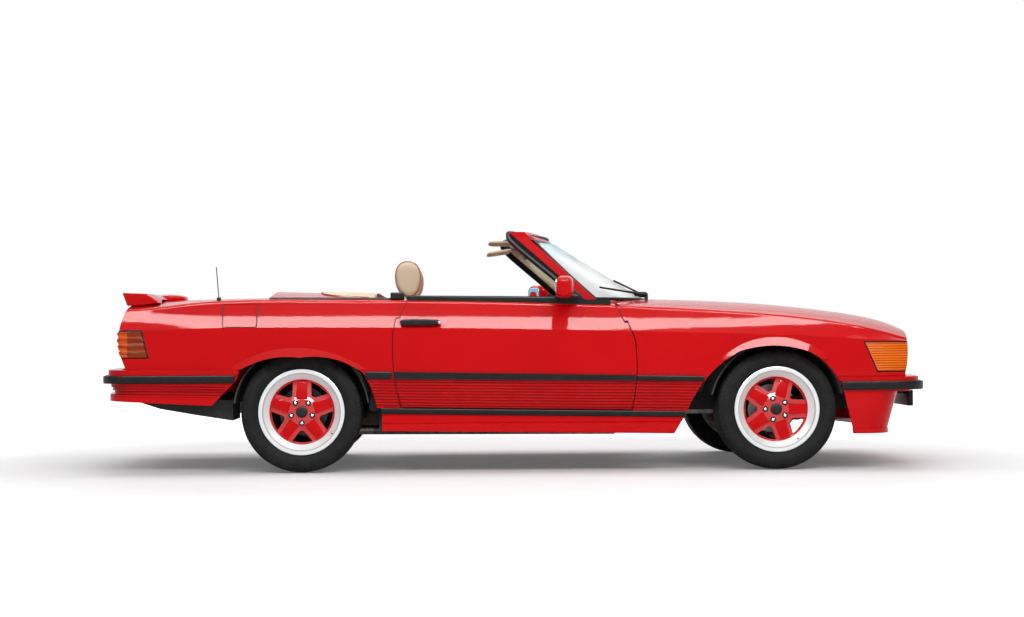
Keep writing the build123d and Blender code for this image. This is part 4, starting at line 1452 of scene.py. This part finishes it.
@dataclass
class GapPanel:
    """A thin painted panel that carries a body panel on to the door's edge, leaving an even gap.

    Root and tip give where the panel begins and ends at the lowest level, then the slope of that edge.
    """

    name: str
    node: str
    side: Side
    levels: tuple[float, float]
    root: tuple[float, float]
    tip: tuple[float, float]
    flare: float = 0.0
    proud: float = 0.0004
    thick: float = 0.003

    def section(self, z: float) -> list[Point]:
        """The panel's outline at one height, taken from the body panel's own surface.

        Args:
            z: the height.

        Returns:
            The outline's points.
        """
        rise = z - self.levels[0]
        root, tip = (place + slope * rise for place, slope in (self.root, self.tip))
        inward = Vector((0, -self.side.value, 0))
        _, spot, _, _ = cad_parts[self.node].ray_cast(self.side.place(root, 1.5, z), inward)
        face = abs(spot.y) + self.proud
        far = face + self.flare * (root - tip)
        ring = ((root, face), (tip, far), (tip, far - self.thick), (root, face - self.thick))
        return [self.side.place(x, y, z) for x, y in ring]

    def build(self) -> None:
        """Skin the panel from the lowest level to the highest and seal its edge."""
        low, high = self.levels
        rings = [self.section(low + (high - low) * k / 20) for k in range(21)]
        label = f"{self.name}_{self.side.label}"
        piece_from(loft(rings), label, "chassis", PAINT, 40.0)
        onward = math.copysign(0.0015, self.tip[0] - self.root[0])
        inward = -0.008 * self.side.value
        bead = [Vector(ring[1]) + Vector((onward, inward, 0)) for ring in rings[::4]]
        strand(label + "_seal", bead, 0.0032, "chassis", SEAL)


@dataclass
class Fittings:
    """Small fittings: a dark bead of painted shade in the fuel flap's gap, and the heads of the wiper
    arms.
    """

    rear: float = -1.5150
    front: float = -1.3390
    low: float = 0.7500
    high: float = 0.8660

    def flap_seal(self) -> None:
        """A dark bead in the gap round the fuel flap: painted shade standing in for the gap's shadow."""
        rear, front, low = self.rear, self.front, self.low
        wide, tight = 0.012, 0.003
        way = [(rear, z) for z in (self.high, 0.83, 0.79, low + wide)] + [(rear + tight, low + tight)]
        way += [(x, low) for x in (rear + wide, -1.46, -1.40, front - wide)]
        way += [(front - tight, low + tight)]
        way += [(front, z) for z in (low + wide, 0.79, 0.83, self.high)]
        points = []
        for x, z in way:
            out_x = -1.0 if x < rear + 0.008 else 1.0 if x > front - 0.008 else 0.0
            out_z = -1.0 if z < low + 0.008 else 0.0
            depths = []
            for node, shift in (("rear_body", 0.006), ("fuel_flap", -0.006)):
                start = (x + shift * out_x, -1.5, z + shift * out_z)
                hit, spot, _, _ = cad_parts[node].ray_cast(start, (0, 1, 0))
                if hit and spot.y < -0.80:
                    depths.append(spot.y)
            if depths:
                points.append((x, sum(depths) / len(depths), z))
        # The bead is painted shade: a dark strip laid in the gap to darken the shut line.
        strand("flap_seal", points, 0.0030, "chassis", SEAL)

    def build(self) -> None:
        """Make all the pieces."""
        self.flap_seal()
        for name, x, y in (("right", 0.690, -0.262), ("left", 0.732, 0.110)):
            place, half = (x, y, 0.924), (0.036, 0.015, 0.0125)
            Pad("wiper_head_" + name, "chassis", place, half, TRIM, 3.5, 5.0).build()
            line = [(x - 0.07, y - 0.01, 0.938), (x - 0.02, y, 0.929)]
            strand("wiper_spring_" + name, line, 0.006, "chassis", TRIM)


@dataclass
class Spoiler:
    """Boot spoiler with a brake-lamp pod.

    Each corner of the wing's outline has its X and Z at the ends, then in the middle.
    """

    body: str = "boot_lid_set"
    outlines: tuple[tuple[float, float, float, float], ...] = (
        (-2.030, 0.866, -2.038, 0.910),
        (-1.950, 0.868, -1.985, 0.907),
        (-1.866, 0.880, -1.880, 0.902),
        (-1.882, 0.896, -1.888, 0.908),
        (-1.933, 0.930, -1.933, 0.931),
        (-2.055, 0.934, -2.055, 0.936),
    )
    stations: Profile = ((0.676, 1.0), (0.560, 1.0), (0.520, 0.75), (0.470, 0.25), (0.420, 0.0))

    def section(self, y: float, share: float) -> list[Point]:
        """The wing's outline at a place across the car, from a share of the ends' outline."""
        rest = 1 - share
        return [(a * share + c * rest, y, b * share + d * rest) for a, b, c, d in self.outlines]

    def build(self) -> None:
        """Make the wing, the pod and its lens."""
        rings = [self.section(-y, share) for y, share in self.stations]
        rings += [self.section(y, share) for y, share in reversed(self.stations)]
        bm = loft(rings)
        rounded(bm, [e for e in bm.edges if e.calc_face_angle(0.0) > 0.45], 0.005)
        wing = piece_from(bm, "spoiler_wing", self.body, PAINT, 40.0)
        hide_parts("spoiler")
        place, half = (-1.893, 0, 0.914), (0.086, 0.105, 0.022)
        Pad("brake_lamp_pod", self.body, place, half, PAINT, 2.6, 4.0).build()
        place, half = (-1.962, 0, 0.914), (0.014, 0.085, 0.0145)
        Pad("brake_lamp_lens", self.body, place, half, HIGH_LENS, 4.0, 6.0).build()


@dataclass
class Ribbed:
    """A lamp lens cut into horizontal ribs that stand out at its edge."""

    node: str
    finish: Lens
    pitch: float
    stand: float
    low: float
    high: float
    rise: tuple[tuple[float, bool], ...] = ((0.0, False), (0.28, True), (0.60, True), (0.88, False))

    def build(self) -> None:
        """Copy the lens, cut it in bands and push the middle of each band outward."""
        bm = bmesh.new()
        bm.from_mesh(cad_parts[self.node].data)
        bmesh.ops.remove_doubles(bm, verts=bm.verts, dist=1e-5)
        levels = []
        z = self.low
        while z < self.high:
            levels += [(z + self.pitch * share, lifted) for share, lifted in self.rise]
            z += self.pitch
        for height, _ in levels:
            geom = bm.verts[:] + bm.edges[:] + bm.faces[:]
            bmesh.ops.bisect_plane(bm, geom=geom, dist=1e-6, plane_co=(0, 0, height), plane_no=(0, 0, 1))
        bm.normal_update()
        raised = [height for height, lifted in levels if lifted]
        for vert in bm.verts:
            way = Vector((vert.normal.x, vert.normal.y, 0))
            outward = way.dot(Vector((vert.co.x, vert.co.y, 0))) > 0.25
            if outward and any(abs(vert.co.z - height) < 2e-4 for height in raised):
                vert.co += way.normalized() * self.stand
        piece = piece_from(bm, self.node + "_ribbed", "chassis", self.finish, 30.0)
        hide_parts(self.node)


@dataclass
class SoftStrips:
    """The rub strips, copied with their sharp edges rounded."""

    node: str = "body_strips"
    width: float = 0.008
    sharp: float = 0.7

    def build(self) -> None:
        """Make the copy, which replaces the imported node."""
        bm = bmesh.new()
        bm.from_mesh(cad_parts[self.node].data)
        bmesh.ops.remove_doubles(bm, verts=bm.verts, dist=1e-5)
        bmesh.ops.dissolve_limit(bm, angle_limit=0.02, verts=bm.verts, edges=bm.edges)
        edges = [e for e in bm.edges if len(e.link_faces) == 2 and e.calc_face_angle(0.0) > self.sharp]
        rounded(bm, edges, self.width)
        piece = piece_from(bm, self.node + "_rounded", "chassis", RUBBER, 30.0)
        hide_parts(self.node)


# ---------------------------------------------------------------- studio


@dataclass
class Studio:
    """Pale floor, soft lights and the camera."""

    lens: float = 69.63
    camera_place: Point = (-0.3503, -11.045, 0.7056)
    yaw: float = 1.797
    pitch: float = 0.757
    roll: float = -0.302
    sky: Colour = (0.97, 0.98, 1.0)
    sky_strength: float = 0.42

    def camera(self) -> None:
        """Set up the camera."""
        data = bpy.data.cameras.new("camera")
        data.lens = self.lens
        data.sensor_width = 36.0
        data.clip_end = 200.0
        shot = bpy.data.objects.new("camera", data)
        yaw, pitch = math.radians(self.yaw), math.radians(self.pitch)
        level = math.cos(pitch)
        ahead = Vector((math.sin(yaw) * level, math.cos(yaw) * level, math.sin(pitch)))
        turn = ahead.to_track_quat("-Z", "Y").to_matrix().to_4x4()
        roll = Matrix.Rotation(math.radians(self.roll), 4, "Z")
        shot.matrix_world = Matrix.Translation(self.camera_place) @ turn @ roll
        bpy.context.scene.collection.objects.link(shot)
        bpy.context.scene.camera = shot

    @staticmethod
    def lamp(
        name: str, place: Point, aim: Point, size: tuple[float, float], watts: float
    ) -> bpy.types.Object:
        """Add a soft rectangular light.

        Args:
            name: its name.
            place: where it hangs.
            aim: the point it faces.
            size: width and height.
            watts: its power.

        Returns:
            The light.
        """
        data = bpy.data.lights.new(name, "AREA")
        data.shape = "RECTANGLE"
        data.size, data.size_y = size
        data.energy = watts
        light = bpy.data.objects.new(name, data)
        light.location = place
        light.rotation_euler = (Vector(aim) - Vector(place)).to_track_quat("-Z", "Y").to_euler()
        bpy.context.scene.collection.objects.link(light)
        return light

    def floor(self) -> None:
        """Lay a wide pale floor that fades to white round the car and keeps its shadow."""
        bm = bmesh.new()
        bmesh.ops.create_grid(bm, x_segments=1, y_segments=1, size=60.0)
        bmesh.ops.translate(bm, verts=bm.verts, vec=(0, 0, -0.0005))
        mesh = bpy.data.meshes.new("floor")
        bm.to_mesh(mesh)
        bm.free()
        floor = bpy.data.objects.new("floor", mesh)
        bpy.context.scene.collection.objects.link(floor)
        shader = Shader("pale_floor")
        _, x, y, _ = shader.place()
        far = (x * x + y * y).calc("SQRT").step(2.4, 5.5)
        glow = shader.blend(shader.seen() * (0.10 + far * 0.90), BLACK, WHITE)
        grain = shader.noise(3.0, 3.0)
        shader.finish(
            Base_Color=shader.blend(grain, (0.80, 0.80, 0.80), (0.76, 0.76, 0.76)),
            Roughness=0.6 + grain * 0.1,
            Specular_IOR_Level=0.1,
            Emission_Color=glow,
            Emission_Strength=1.0,
        )
        mesh.materials.append(shader.material)

    def world(self) -> None:
        """Even pale surroundings, white where the eye, a gloss or glass sees them."""
        world = bpy.data.worlds.new("studio")
        bpy.context.scene.world = world
        board = NodeBoard(world)
        mix = board.node("ShaderNodeMixShader", {0: board.seen()})
        for slot, colour, strength in ((1, self.sky, self.sky_strength), (2, WHITE, 1.0)):
            back = board.node("ShaderNodeBackground", {0: colour, 1: strength})
            board.feed(mix.inputs[slot], Wire(board, back.outputs[0]))
        board.node("ShaderNodeOutputWorld", {0: Wire(board, mix.outputs[0])})

    def build(self) -> None:
        """Set everything up."""
        bpy.context.scene.view_settings.view_transform = "Standard"
        self.camera()
        self.floor()
        self.world()
        key = self.lamp("key", (0.4, -5.3, 4.0), (0, -0.8, 0.8), (8.0, 1.3), 215.0)
        key.visible_glossy = False
        sheen = self.lamp("sheen", (0.2, -4.80, 5.30), (0.2, -0.87, 0.78), (9.5, 1.25), 1750.0)
        sheen.visible_diffuse = False
        self.lamp("top", (0.0, 0.3, 5.2), (0, 0, 0.5), (7.0, 3.0), 150.0)
        self.lamp("behind", (0.0, 5.0, 4.2), (0, 0, 0.6), (8.0, 1.0), 130.0)
        LOG.info("studio ready")


def main() -> None:
    """Build every part of the scene in order."""
    logging.basicConfig(level=logging.INFO, format="%(name)s: %(message)s")
    CoachWork().dress()
    for corner in Corner:
        Wheel(corner).build()
    Windscreen().build()
    Cockpit().build()
    wing = ((0.7757, 0.8515), (0.574, 0.0), (0.5478, -0.47), 0.0146)
    quarter = ((0.797, 0.885), (-0.6335, 0.45), (-0.6119, 0.475))
    for side, mirror_x, toe in ((Side.RIGHT, 0.236, 8.0), (Side.LEFT, 0.192, 28.0)):
        SideDress(side, mirror_x, toe).build()
        GapPanel("wing_corner", "front_fenders", side, *wing).build()
        GapPanel("quarter_corner", "rear_body", side, *quarter).build()
    Fittings().build()
    Spoiler().build()
    Ribbed("tail_lamps", TAIL_LENS, 0.0345, 0.007, 0.6000, 0.735).build()
    Ribbed("front_lamps", FRONT_LENS, 0.0125, 0.0012, 0.5100, 0.655).build()
    SoftStrips().build()
    Studio().build()


if __name__ == "__main__":
    main()
